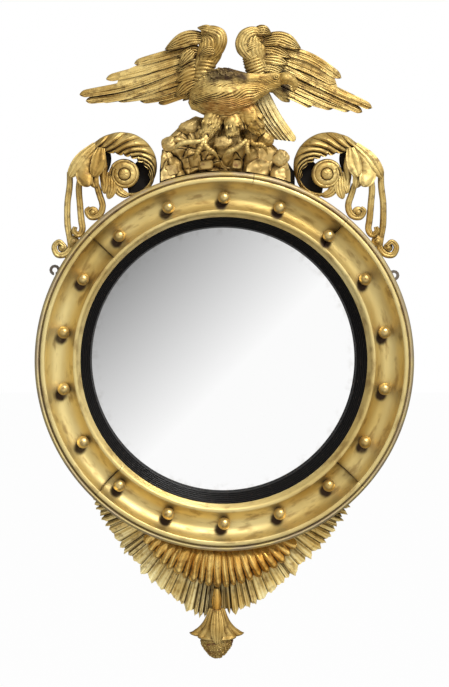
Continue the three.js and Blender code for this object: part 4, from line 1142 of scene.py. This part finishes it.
BED_TOP = [(-111, 346), (-102, 375), (-92, 391), (-69, 412), (-48, 422), (10, 418), (58, 401), (86, 372),
           (108, 353), (114, 325)]
BED_ENDS = (-109, 113)
BED_FOOT = 328  # radius of its lower edge
BED_DEPTH = 37
BED_EDGE = 26
BED_BACK = 22.4
LUMPS = ((17, 11, 0.3), (45, 3.5, 0.3))  # how many, how high and how far they lean


def bed(carving):
    """The rock face, in worn lumps that lean every way, with creases between them."""
    draw = np.random.default_rng(8)
    x = np.linspace(*BED_ENDS, 260)
    top = np.interp(x, [p[0] for p in BED_TOP], [p[1] for p in BED_TOP]) + 2.5 * unevenness(11, x / 9)
    low = np.sqrt(BED_FOOT**2 - x**2)
    v = np.linspace(0, 1, 110)
    z = low[:, None] + (np.maximum(top - low, 3))[:, None] * v
    across = x[:, None] * np.ones_like(z)
    front = BED_DEPTH + 3 * unevenness(9, across / 20, z / 20) + 1.4 * unevenness(10, across / 5, z / 5)
    front = front + 2.5 * unevenness(14, across / 10, z / 10)
    for count, rise, lean in LUMPS:
        bent_x = across + 6 * unevenness(12, across / 15, z / 15)
        bent_z = z + 6 * unevenness(13, across / 15, z / 15)
        lumps = np.stack([draw.uniform(-116, 120, count), draw.uniform(312, 424, count)], axis=-1)
        leans = draw.uniform(-lean, lean, (count, 2))
        offset = np.stack([bent_x[..., None] - lumps[:, 0], bent_z[..., None] - lumps[:, 1]], axis=-1)
        far = np.linalg.norm(offset, axis=-1)
        nearest = far.argmin(axis=-1)
        own = np.take_along_axis(offset, nearest[..., None, None], axis=2)[..., 0, :]
        far.sort(axis=-1)
        crease = np.sin(math.pi / 2 * np.clip((far[..., 1] - far[..., 0]) / (1.5 * rise), 0, 1)) ** 0.8
        front = front + crease * (rise + (own * leans[nearest]).sum(axis=-1))
    front = np.maximum(front - 16 * step(0.72, 1.02, v) ** 2, BED_EDGE)
    face = np.stack([across, -front, z], axis=-1)
    back = np.stack([across[:, :2], np.full((len(x), 2), -BED_BACK), z[:, [-1, 0]]], axis=-1)
    carving.loft(np.concatenate([face, back], axis=1))


TOE_WIDTHS = [4.6, 3.7, 4.3, 3.2, 0.7]
TOE_DEPTHS = [5, 4, 4.4, 3.4, 0.8]
TOES = [
    [(-30, 386, 70), (-42, 377, 74), (-66, 375, 73), (-80, 370, 71), (-87, 361, 64)],
    [(-32, 384, 70), (-39, 372, 74), (-44, 362, 74), (-49, 353, 73), (-54, 345, 64)],
    [(-30, 384, 70), (-34, 372, 74), (-27, 363, 74), (-18, 357, 72), (-10, 347, 64)],
    [(38, 379, 70), (29, 372, 74), (16, 363, 74), (4, 358, 72), (-3, 349, 64)],
    [(41, 379, 70), (38, 369, 74), (39, 360, 74), (41, 355, 72), (43, 347, 64)],
    [(43, 379, 70), (50, 372, 74), (62, 371, 73), (69, 365, 71), (74, 354, 64)],
]


def talons():
    """Scaly toes that grip the rocks, each with a smooth claw."""
    def scales(t, angle):
        return (0.6 * ripple(8 * t, 1) - 0.3) * step(0.8, 0.7, t) * np.ones_like(angle)

    carving = Carving()
    for path in TOES:
        carving.loft(mass(path, TOE_WIDTHS, TOE_DEPTHS, scales, 70, 24))
    piece("talons", carving.mesh("talons", 60), CARVED_GOLD, "gilt_carving")


# ---- Scrolls, hood leaves and tendrils ----------------------------------------------------------------

# Angles round the eye of the left scroll: 0 points down and 90 at the crest.
STRIP_FROM, STRIP_TO = -150, 95
STRIP_OUTER = [26, 27.5, 31, 37, 46, 54]
STRIP_INNER = [21, 22, 25, 30, 40, 49]
STRIP_BACK = 12.5
SHADE_FROM, SHADE_TO = 12, 136
SHADE_OUTER = [33, 43, 50, 52, 46, 38]
SHADE_INNER = 23.0
SHADE_BACK = 14.5
LEAF_FROM, LEAF_TO = 70, 236
LEAF_OUTER = [49, 58, 66, 72, 75, 77.5]
LEAF_INNER = [46, 41, 33, 31, 38, 62]
LEAF_BACK = 14
LEAF_VAULT = [30, 38, 44, 46, 44, 38]
FINGERS = 8


def in_scroll(angle, radius, depth):
    """x, y, z at an angle round the scroll's eye."""
    a = np.radians(angle)
    x, z = SCROLL_EYE[0] + radius * np.sin(a), SCROLL_EYE[1] - radius * np.cos(a)
    return np.stack(np.broadcast_arrays(x, -depth, z), axis=-1)


def sheet(angle, outer, inner, front, back, scallop=0.0):
    """A shell between two spirals: front is a grid of depths from the outer to the inner one.

    scallop moves the inner edge at each angle.
    """
    v = np.linspace(0, 1, front.shape[1])
    radius = outer[:, None] + (inner - outer)[:, None] * v + np.reshape(scallop, (-1, 1)) * step(0.72, 1, v)
    back_v = np.array([0.9, 0.1])
    back_radius = outer[:, None] + (inner - outer)[:, None] * back_v
    return np.concatenate([
        in_scroll(angle[:, None], radius, front),
        in_scroll(angle[:, None], back_radius, np.full((len(angle), 2), float(back))),
    ], axis=1)


def volute():
    """The coiled end: a domed eye in a groove, a broad rounded band and a rolled edge, a little spiral."""
    angle = np.linspace(0, 360, 120, endpoint=False)
    profile = [(0.3, 45.5), (4, 45.3), (7, 44.4), (9, 43), (9.8, 40.5), (10.4, 39.4), (11, 40.4),
               (12.2, 41.8), (15, 42), (18, 41.4), (20.2, 40), (20.8, 39), (21.6, 39.8), (23.2, 39.8),
               (24.8, 38.6), (26, 34), (26, 16)]
    radii, depths = np.array(profile).T[..., None]
    a = np.radians(angle)
    growth = 1 + 0.2 * step(9, 16, radii) * ((angle + 120) % 360 / 360 - 0.7)
    fine = 0.7 * unevenness(70, radii / 3, np.cos(a) * 4, np.sin(a) * 4)
    rays = 0.5 * np.abs(np.sin(a * 5.5 + radii / 4)) * step(11, 14, radii)
    return in_scroll(angle, radii * growth, depths + fine - rays)


def strip():
    """The band that leaves the coil and runs under it to the frame."""
    angle = np.linspace(STRIP_FROM, STRIP_TO, 130)
    u = (angle - STRIP_FROM) / (STRIP_TO - STRIP_FROM)
    v = np.linspace(0, 1, 14)
    front = 37 + 2.5 * np.sin(math.pi * v) + 1.3 * np.cos(TURN * 1.5 * v) - 6 * step(0.1, 0, v)
    front = front - through([0, 2, 4, 6, 7, 8], u)[:, None] + 0.4 * unevenness(71, angle[:, None] / 9, v * 3)
    return sheet(angle, through(STRIP_OUTER, u), through(STRIP_INNER, u), front, STRIP_BACK)


def arch_leaf():
    """The leaf that arches over the coil: its fingers fan from the root and end along the inner edge."""
    angle = np.linspace(LEAF_FROM, LEAF_TO, 420)
    u = (angle - LEAF_FROM) / (LEAF_TO - LEAF_FROM)
    v = np.linspace(0, 1, 96)
    finger = FINGERS * (0.40 * v[None, :] ** 1.5 - u[:, None]) + 0.2
    finger = finger + 0.16 * unevenness(75, u[:, None] * 6, v * 2)
    share = finger % 1
    swell = np.sin(math.pi * share) ** 0.65 * (0.72 + 0.5 * share)
    tip = np.sin(math.pi * share[:, -1:]) ** 0.5
    scallop = (4.6 * (1 - tip) - 1.5)[:, 0]
    vault = through(LEAF_VAULT, u)[:, None] - 12 * step(0.36, -0.08, v) - 4 * step(0.6, 1.0, v)
    fine = 0.45 * np.cos(TURN * 3 * finger) * (0.6 + 0.8 * unevenness(77, u[:, None] * 14, v * 4))
    front = vault + 7.2 * swell - 5 + fine + 1.8 * step(0.84, 0.97, v) * tip
    front = np.maximum(front - 8 * step(0.05, 0, v), 16)
    return sheet(angle, through(LEAF_OUTER, u), through(LEAF_INNER, u), front, LEAF_BACK, scallop)


def shade():
    """The black wall inside the scroll: black paint, and painted shade where the hollow of the scroll lies in shadow.
    """
    angle = np.linspace(SHADE_FROM, SHADE_TO, 70)
    u = (angle - SHADE_FROM) / (SHADE_TO - SHADE_FROM)
    v = np.linspace(0, 1, 10)
    front = 22 + 2 * unevenness(76, u[:, None] * 5, v * 2) * np.ones((70, 10))
    return sheet(angle, through(SHADE_OUTER, u), np.full(70, SHADE_INNER), front, SHADE_BACK)


def leaf_lobe(carving, path, widths, curl, seed, hollow=0.0, grooves=3, thick=5):
    """A lobe of acanthus: grooves along it, and a tip that rolls outwards by curl."""
    length = path_length(path)
    t = 1 - (1 - np.linspace(0, 1, int(length / 1.1) + 20)) ** 1.4
    half = through(widths, t) / 2 * rounded(t, 0.8 * widths[-1] / length, 2.2, 0.5)
    s = np.linspace(-1, 1, 31)
    run = (t * length)[:, None]
    groove = ripple(grooves * (s + 1) / 2 + 0.3 / math.pi * unevenness(seed, run / 13))
    bowl = -hollow * (1 - s**2) * np.sin(math.pi * np.clip(t * 1.05, 0, 1))[:, None]
    rim = 1.8 * peak(1 - np.abs(s), 0.15)
    rise = curl * step(0.55, 1.0, t)[:, None]
    front = 3.2 * (1 - s**2) + 1.8 * groove * (1 - s**4) + bowl + rim + rise
    front = front + 0.5 * unevenness(seed + 1, run / 7, s * 3)
    back_s = np.array([0.85, 0, -0.85])
    back = -thick + rise * np.ones(3)
    sides = np.hstack([half[:, None] * s, half[:, None] * back_s])
    carving.loft(along_path(path, t, sides, np.hstack([front, back])))


HOOD_LOBES = [  # path, widths, curl of the tip, hollow, grooves
    ([(-221, 372, 36), (-242, 352, 42), (-254, 336, 43), (-267, 316, 38)], [14, 22, 23, 14], 3, 0.0, 2),
    ([(-223, 365, 36), (-238, 343, 42), (-242, 322, 44), (-233, 300, 42)], [16, 24, 28, 28], 6, 1.0, 1),
    ([(-219, 350, 38), (-223, 329, 41), (-226, 315, 41), (-221, 298, 37)], [14, 20, 20, 16], 3, 1.0, 2),
    ([(-212, 367, 42), (-215, 351, 48), (-218, 336, 49), (-225, 317, 46)], [13, 23, 25, 18], 1, 4.0, 2),
]
LOWER_LEAVES = [  # path, widths, curl of the tip
    ([(-201, 326, 31), (-203, 312, 33), (-203, 300, 34), (-207, 288, 33)], [14, 18, 17, 11], 2),
    ([(-195, 319, 32), (-194, 305, 35), (-195, 293, 36), (-200, 279, 34)], [14, 18, 17, 11], 2),
    ([(-192, 315, 31), (-185, 300, 33), (-178, 290, 33), (-164, 284, 30)], [13, 17, 15, 10], 1),
]
HOOD_STEM = [(-213, 361, 30), (-209, 338, 29), (-209, 317, 29), (-204, 295, 28)]
HOOD_SHADE = [(-204, 368, 24), (-202, 351, 22), (-203, 337, 22), (-208, 321, 22)]

TENDRILS = {
    "outer": [(-267, 326, 28), (-267, 302, 28), (-271, 271, 26), (-271, 236, 23), (-267, 211, 22),
              (-266, 194, 22), (-276, 183, 23), (-289, 183, 23), (-294, 196, 24), (-286, 205, 26),
              (-277, 199, 27)],
    "middle": [(-249, 316, 30), (-251, 295, 29), (-249, 267, 28), (-247, 243, 27), (-245, 227, 27),
               (-251, 217, 29), (-259, 223, 33), (-257, 231, 35)],
    "inner": [(-221, 305, 30), (-215, 286, 29), (-210, 267, 28), (-216, 251, 28), (-230, 248, 28),
              (-237, 258, 29), (-231, 264, 31)],
}
TENDRIL_WIDTHS = [5.2, 5.6, 5.8, 5.6, 5.0, 3.8]
TENDRIL_DEPTHS = [6.4, 5.8, 5.4, 5.2, 5, 4]
# x, z, depth and radius of each bead.
TENDRIL_BEADS = {"outer": (-280, 195, 26, 4), "middle": (-261, 206, 30, 5), "inner": (-227, 256, 32, 5)}


def tendril(points, bead):
    """A reeded tendril that ends in a curl round a bead."""
    def reeds(t, angle):
        front = np.clip(np.sin(angle), 0, 1)
        groove = 1.7 * peak(np.cos(angle) + 0.15, 0.3)
        return front * (0.5 * np.abs(np.cos(angle)) - groove) + 0.3 * unevenness(61, t * 16, angle)

    carving = Carving()
    carving.loft(mass(points, TENDRIL_WIDTHS, TENDRIL_DEPTHS, reeds, 130, 40))
    x, z, depth, radius = bead
    dot(carving, x, z, depth, radius, 1.0, 16, 28)
    dot(carving, x, z, depth - 5, 2.1 * radius, 0.4, 12, 28)
    return carving


def both_sides(name, carving, material, slot, crease=55):
    """The same carving on the left and, turned over, on the right."""
    for side, turned in (("left", carving), ("right", carving.mirrored())):
        mesh = turned.mesh(f"{name}_{side}", crease)
        piece(f"{name}_{side}_carved", mesh, material, slot, f"{name}_{side}")


def scrolls():
    """The scrolls at the sides of the crest, their hood leaves and the tendrils that hang from them."""
    scroll = Carving()
    scroll.loft(volute())
    scroll.loft(strip())
    scroll.loft(arch_leaf())
    for i, (path, widths, curl) in enumerate(LOWER_LEAVES):
        leaf_lobe(scroll, path, widths, curl, 73 + i)
    both_sides("scroll", scroll, CARVED_GOLD, "gilt_carving")
    # black walls for paint and painted shade inside the scroll and beside the hood's stem
    walls = Carving().loft(shade())
    walls.loft(mass(HOOD_SHADE, [5, 7, 6, 4], [5, 6, 6, 4], plain, 30, 24))
    for side, carving in (("left", walls), ("right", walls.mirrored())):
        piece(f"scroll_shade_{side}", carving.mesh(f"scroll_shade_{side}", 50), BLACK, "black_paint")
    hood = Carving()
    for i, (path, widths, curl, hollow, grooves) in enumerate(HOOD_LOBES):
        leaf_lobe(hood, path, widths, curl, 80 + i, hollow, grooves)
    hood.loft(mass(HOOD_STEM, [7, 7, 6, 8], [10, 9, 9, 9], strands(6, 1.6, 88), 60, 48))
    both_sides("hood_leaf", hood, CARVED_GOLD, "gilt_carving")
    for name, points in TENDRILS.items():
        both_sides(f"tendril_{name}", tendril(points, TENDRIL_BEADS[name]), CARVED_GOLD, "gilt_carving")


# ---- Apron --------------------------------------------------------------------------------------------

APRON_SEAT = CARCASS_RADIUS + 1
FRILL_LINES = {
    "left": [(-229, -241, 10), (-217, -269, 10), (-196, -304, 10), (-166, -345, 11), (-124, -389, 12),
             (-79, -427, 13), (-37, -449, 14), (-7, -434, 12)],
    "right": [(223, -248, 10), (213, -269, 10), (195, -298, 10), (172, -326, 11), (141, -357, 12),
              (106, -392, 13), (53, -430, 14), (13, -442, 14), (-13, -434, 12)],
}
FRILL_PLEATS = 24
FRILL_HEART = (-4, -212)
SHELL_LINE = [(-143, -310, 26), (-128, -334, 30), (-105, -356, 34), (-76, -374, 38), (-45, -387, 42),
              (-11, -395, 44), (24, -390, 42), (55, -379, 40), (85, -364, 36), (111, -345, 31),
              (131, -318, 27)]
SHELL_FLUTES = 21
SHELL_HEART = (-11, -202)


def relief(inner, outer, front, back):
    """A carved sheet between two edges of x and z: front gives the depth at each t and v."""
    v = np.linspace(0, 1, front.shape[1])
    across = inner[:, None, :] + (outer - inner)[:, None, :] * v[None, :, None]
    face = np.stack([across[..., 0], -front, across[..., 1]], axis=-1)
    rear = np.stack([across[:, [-1, 0], 0], np.full((len(inner), 2), -back), across[:, [-1, 0], 1]], axis=-1)
    return np.concatenate([face, rear], axis=1)


def on_the_seat(outer, heart):
    """Where lines from outer points towards the heart of a fan meet the frame's underside."""
    along = np.array(heart) - outer
    along /= np.linalg.norm(along, axis=1, keepdims=True)
    middle = -(outer * along).sum(axis=1)
    way = middle - np.sqrt(np.maximum(middle**2 - (outer**2).sum(axis=1) + APRON_SEAT**2, 0))
    return outer + along * way[:, None]


def uneven_widths(count, seed, spread):
    """Where count folds of uneven width begin and end, from 0 to 1."""
    widths = np.random.default_rng(seed).uniform(1 - spread, 1 + spread, count)
    return np.concatenate([[0], np.cumsum(widths)]) / widths.sum()


def folds(t, count, seed, spread):
    """The number of the fold at each t, and how far across it t is."""
    ends = uneven_widths(count, seed, spread)
    number = np.clip(np.searchsorted(ends, t, side="right") - 1, 0, count - 1)
    return number, (t - ends[number]) / (ends[number + 1] - ends[number])


def frill(side):
    """Half of the pleated frill: sharp folds of uneven width, cut off square at their ends."""
    seed = 90 if side == "left" else 94
    draw = np.random.default_rng(seed)
    t = np.linspace(0, 1, 1100)
    v = np.linspace(0, 1, 14)
    number, share = folds(t, FRILL_PLEATS, seed, 0.45)
    crest = draw.choice([0.3, 0.5, 0.72], FRILL_PLEATS)[number]
    height = draw.choice([0.5, 0.8, 1.15], FRILL_PLEATS)[number]
    fold = np.where(share < crest, share / crest, (1 - share) / (1 - crest))
    kink = np.abs((share * 2.3 + 0.2) % 1 - 0.5) * 2
    line = line_through(FRILL_LINES[side], t)[:, :2]
    seat = on_the_seat(line, FRILL_HEART)
    out = line - np.array(FRILL_HEART)
    out /= np.linalg.norm(out, axis=1, keepdims=True)
    cut = draw.uniform(-1.5, 1.5, FRILL_PLEATS)[number]
    cut = cut + draw.uniform(-2.5, 2.5, FRILL_PLEATS)[number] * (share - 0.5)
    tooth = (6.5 * fold * height - 6.5 + cut + 0.8 * kink) * step(0, 0.02, t)
    outer = line + out * tooth[:, None]
    middle = step(0.9, 0.97, t)[:, None]
    rise = (5 + 4.5 * v) * fold[:, None] * height[:, None] * (1 - 0.65 * middle)
    front = 11 + rise + (1.4 + 1.4 * v) * kink[:, None] + 0.4 * unevenness(99, t[:, None] * 90, v * 3)
    return Carving().loft(relief(seat, outer, front, FRILL_BACK))


def shell():
    """The fluted shell under the frame, bulging forwards, each flute ending in a rolled lobe."""
    t = np.linspace(0, 1, 860)
    v = np.linspace(0, 1, 44)
    number, share = folds(t, SHELL_FLUTES, 110, 0.3)
    size = np.random.default_rng(111).uniform(0.75, 1.1, SHELL_FLUTES)[number]
    flute = np.sin(math.pi * share)
    line = line_through(SHELL_LINE, t)[:, :2]
    seat = on_the_seat(line, SHELL_HEART)
    scallop = 1 - 0.045 * (1 - flute**0.6) - 0.02 * (1 - size)
    outer = np.array(SHELL_HEART) + (line - np.array(SHELL_HEART)) * scallop[:, None]
    fullness = np.minimum(1, 5 * np.minimum(t, 1 - t))[:, None]
    bulge = 2 + 40 * v * (1 - v) ** 0.8 + 3 * step(0.75, 0.95, v)
    round_over = 9 * (1 - np.sqrt(np.clip(1 - step(0.86, 1.02, v) ** 2, 0, 1)))
    swung = share[:, None] + 0.16 * np.sin(TURN * v * 0.7) * (1 - share[:, None]) * share[:, None] * 4
    ridge = np.sin(math.pi * np.clip(swung, 0, 1)) ** 0.85 * size[:, None]
    front = 27 + fullness * bulge + (3.5 + 4 * v) * ridge - round_over
    front = np.maximum(front, SHELL_BACK + 2) + 0.3 * unevenness(112, t[:, None] * 60, v * 6)
    return Carving().loft(relief(seat, outer, front, SHELL_BACK))


PENDANT_DEPTH = 27
# Heights, half widths and half depths.
STALK = [(-396, 4.5, 6), (-406, 6.5, 7), (-418, 8.5, 8), (-430, 7.5, 9), (-440, 8, 10)]
BUD = [(-466, 16, 14), (-476, 25, 19), (-486, 27.5, 20), (-495, 25, 19), (-504, 19, 15), (-512, 11.5, 9),
       (-517.3, 3, 3)]
CALYX = [(-431, 12, 9), (-437, 14.5, 12), (-446, 18, 15), (-455, 23, 17), (-464, 31, 19), (-471, 41, 21),
         (-476, 46, 20)]
CALYX_ROWS, CALYX_SIDES = 80, 200
CALYX_DROOP = 7  # of its front and back tips
BUD_SEEDS = 260
MIDDLE_LEAF = [(-12, -431, 40), (-12, -446, 47), (-12, -464, 52), (-12, -487, 50)]


def levelled(levels, lift=None, rows=60, sides=72):
    """Rings at given heights: z, half width and half depth."""
    t = np.linspace(0, 1, rows)
    z, width, depth = line_through(levels, t).T
    angle = np.linspace(0, TURN, sides, endpoint=False)
    more = lift(t[:, None], angle) if lift else 0
    x = PENDANT_AXIS + (width[:, None] + more) * np.sin(angle)
    y = -np.maximum(PENDANT_DEPTH + (depth[:, None] + more) * np.cos(angle), FRILL_BACK + 1)
    return np.stack([x, y, z[:, None] * np.ones(sides)], axis=-1)


def pendant():
    """A stalk, a bell of ribbed leaves with turned-out tips and a stippled bud."""
    def leaves(t, angle):
        leaf = np.abs(np.sin(1.5 * angle + math.pi / 2)) ** 0.4
        rib = np.abs(np.sin(6 * angle + 0.5)) ** 0.8
        rim = 4.6 * peak(t - 0.93, 0.05) * leaf
        return (leaf - 1) * 10 * step(0.3, 1, t) + 3.6 * (rib - 0.5) * step(0.97, 0.85, t) + rim

    stalk = Carving().loft(levelled(STALK))
    piece("pendant_stalk", stalk.mesh("pendant_stalk", 60), WARM_GOLD, "warm_gilt")
    carving = Carving()
    bell = levelled(CALYX, leaves, CALYX_ROWS, CALYX_SIDES)
    angle = np.linspace(0, TURN, CALYX_SIDES, endpoint=False)
    down = np.linspace(0, 1, CALYX_ROWS)[:, None]
    bell[..., 2] -= CALYX_DROOP * (1 - np.abs(np.sin(angle)) ** 3) * down**3
    carving.loft(bell)
    leaf_lobe(carving, MIDDLE_LEAF, [12, 19, 22, 15], 1.5, 128, 0, 3, 7)
    piece("pendant_calyx", carving.mesh("pendant_leaves", 60), CARVED_GOLD, "gilt_carving", "pendant_leaves")
    bud = Carving().loft(levelled(BUD))
    piece("pendant_bud_carved", bud.mesh("pendant_bud", 60), CARVED_GOLD, "gilt_carving", "pendant_bud")
    piece("bud_stipple", bud_stipple(), CARVED_GOLD, "gilt_carving")


def bud_stipple():
    """Small seeds all over the front of the bud."""
    draw = np.random.default_rng(130)
    points = []
    for _ in range(BUD_SEEDS):
        t, angle = draw.uniform(0.12, 0.93), draw.uniform(-1.7, 1.7)
        z, width, depth = line_through(BUD, np.array([t]))[0]
        x, y = PENDANT_AXIS + width * math.sin(angle), -(PENDANT_DEPTH + depth * math.cos(angle))
        points.append((x * MM, y * MM, z * MM))
    base = bpy.data.meshes.new("bud_stipple")
    base.from_pydata(points, [], [])
    recipe = Recipe("bud_stipple", Seed=7, Small=0.0011, Large=0.0020)
    seed = recipe.node("GeometryNodeMeshIcoSphere", {}, {"Radius": 1.0, "Subdivisions": 2})
    seed = recipe.node("GeometryNodeSetShadeSmooth", {}, {"Geometry": seed})
    size = recipe.node("FunctionNodeRandomValue", {"data_type": "FLOAT"},
                       {2: recipe.given("Small"), 3: recipe.given("Large"), "Seed": recipe.given("Seed")}, 1)
    seeds = recipe.node("GeometryNodeInstanceOnPoints", {},
                        {"Points": recipe.given("Geometry"), "Instance": seed, "Scale": size})
    return recipe.mesh(seeds, CARVED_GOLD, base, "bud_stipple")


def apron():
    """The pleated frill in two halves, the fluted shell and the pendant."""
    for side in ("left", "right"):
        mesh = frill(side).mesh(f"apron_frill_{side}", 28)
        piece(f"frill_{side}", mesh, PALE_GOLD, "gilt_carving", f"apron_frill_{side}")
    piece("fluted_shell", shell().mesh("apron_shell", 60), WARM_GOLD, "warm_gilt", "apron_shell")
    pendant()


# ---- Stage --------------------------------------------------------------------------------------------

PHOTO_HEIGHT = 687  # pixels
MM_PER_PIXEL = 1.727
VIEWPOINT = (-120, 2750, 225)  # x, distance from the wall and z of the camera
VIEW_CENTRE = (0.9, 29.4)  # x and z at the middle of the picture, on the reference plane
REFERENCE_DEPTH = 40
SENSOR_WIDTH = 36
FLOOR_Z = -1.3
FLOOR_HALF = 12
WHITE = (1, 1, 1)


def camera():
    """Looks straight at the wall; the shift moves the frame as in the photograph."""
    height = PHOTO_HEIGHT * MM_PER_PIXEL
    data = bpy.data.cameras.new("camera")
    data.sensor_width = SENSOR_WIDTH
    data.lens = SENSOR_WIDTH * (VIEWPOINT[1] - REFERENCE_DEPTH) / height
    data.shift_x = (VIEW_CENTRE[0] - VIEWPOINT[0]) / height
    data.shift_y = (VIEW_CENTRE[1] - VIEWPOINT[2]) / height
    eye = bpy.data.objects.new("camera", data)
    eye.location = (VIEWPOINT[0] * MM, -VIEWPOINT[1] * MM, VIEWPOINT[2] * MM)
    eye.rotation_euler = (math.pi / 2, 0, 0)
    bpy.context.collection.objects.link(eye)
    bpy.context.scene.camera = eye


def lamp(name, place, target, width, power, glossy):
    """A soft square lamp that faces a point. All its sizes are in metres and its power in watts."""
    data = bpy.data.lights.new(name, "AREA")
    data.size = width
    data.energy = power
    body = bpy.data.objects.new(name, data)
    body.location = place
    body.rotation_euler = (Vector(target) - Vector(place)).to_track_quat("-Z", "Y").to_euler()
    bpy.context.collection.objects.link(body)
    body.visible_glossy = glossy


def surroundings():
    """A white room that is darker at its sides and grey at the upper left behind the camera.

    The mirror shows only the part behind the camera. Gilding turned away from the camera shows the rest.
    """
    world = bpy.data.worlds.new("room")
    bpy.context.scene.world = world
    f = Finish(world)
    view = f.node("ShaderNodeTexCoord", output="Generated")
    x, up, ahead = f.split(0, view), f.split(2, view), 0 - f.split(1, view)
    path = {name: f.node("ShaderNodeLightPath", output=name) for name in
            ("Is Camera Ray", "Is Glossy Ray", "Is Transmission Ray")}
    grey = f.node("ShaderNodeMapRange", {},
                  {"Value": x - up, "From Min": -0.56, "From Max": 0.2, "To Min": 0.24, "To Max": 1.0})
    window = (x * 0.45 + ahead * 0.5 + up * 0.74).between(0.6, 0.9)
    patches = f.node("ShaderNodeTexNoise", {}, {"Vector": view, "Scale": 2.6, "Detail": 2.0})
    patches = patches.between(0.36, 0.62)
    side = (0.14 + ahead.between(0.1, 0.85) * 0.8) * (0.35 + up.between(-0.8, 0.3) * 0.65)
    side = side * (0.45 + patches * 0.75) + window * 0.75
    room = f.mix(ahead.between(0.74, 0.87), f.grey(side, (1, 0.97, 0.92)), f.grey(grey))
    seen = f.mix(path["Is Glossy Ray"], WHITE, room)
    direct = (path["Is Camera Ray"] + path["Is Glossy Ray"] + path["Is Transmission Ray"]).between(0, 1)
    color = f.mix(direct, WHITE, seen)
    strength = 0.46 + direct * 0.54
    background = f.node("ShaderNodeBackground", {}, {"Color": color, "Strength": strength})
    f.node("ShaderNodeOutputWorld", {}, {"Surface": background})


def floor():
    """A plain white floor well below the mirror."""
    mesh = bpy.data.meshes.new("floor")
    corners = [(-1, -1), (1, -1), (1, 1), (-1, 1)]
    mesh.from_pydata([(x * FLOOR_HALF, y * FLOOR_HALF, FLOOR_Z) for x, y in corners], [], [(0, 1, 2, 3)])
    f = Finish(bpy.data.materials.new("floor"))
    seen = f.node("ShaderNodeLightPath", output="Is Camera Ray")
    glossy = f.node("ShaderNodeLightPath", output="Is Glossy Ray")
    tone = f.clouds(900, 2) * 0.01 + 0.9
    matt = f.node("ShaderNodeBsdfDiffuse", {}, {"Color": f.grey(tone)})
    glow = f.node("ShaderNodeEmission", {}, {"Color": (1, 1, 1, 1), "Strength": 1.0})
    mixed = f.node("ShaderNodeMixShader", {}, {0: (seen + glossy).between(0, 1) * 0.97, 1: matt, 2: glow})
    f.node("ShaderNodeOutputMaterial", {}, {"Surface": mixed})
    body = bpy.data.objects.new("floor", mesh)
    mesh.materials.append(f.material)
    bpy.context.collection.objects.link(body)
    body.visible_glossy = False


camera()
surroundings()
floor()
lamp("key", place=(1.1, -1.9, 2.3), target=(0, 0, 0), width=0.9, power=74, glossy=True)
lamp("fill", place=(-1.6, -2.4, -0.5), target=(0, 0, -0.2), width=1.6, power=20, glossy=False)

round_frame()
reeded_slip()
convex_glass()
gilt_balls()
eagle()
rocks()
talons()
scrolls()
apron()

def finish_for(name):
    """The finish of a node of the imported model, by its name."""
    if name.startswith(("backboard", "back_ring", "crest_batten", "apron_batten")):
        return PINE
    if name.startswith(("hanging_plate", "plate_screw")):
        return IRON
    if name.startswith("crest_block"):
        return BLACK
    if name.startswith(("apron_shell", "pendant")):
        return WARM_GOLD
    return CARVED_GOLD


for name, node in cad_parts.items():
    node.data.materials.clear()
    node.data.materials.append(finish_for(name))

bpy.context.scene.view_settings.view_transform = "Standard"
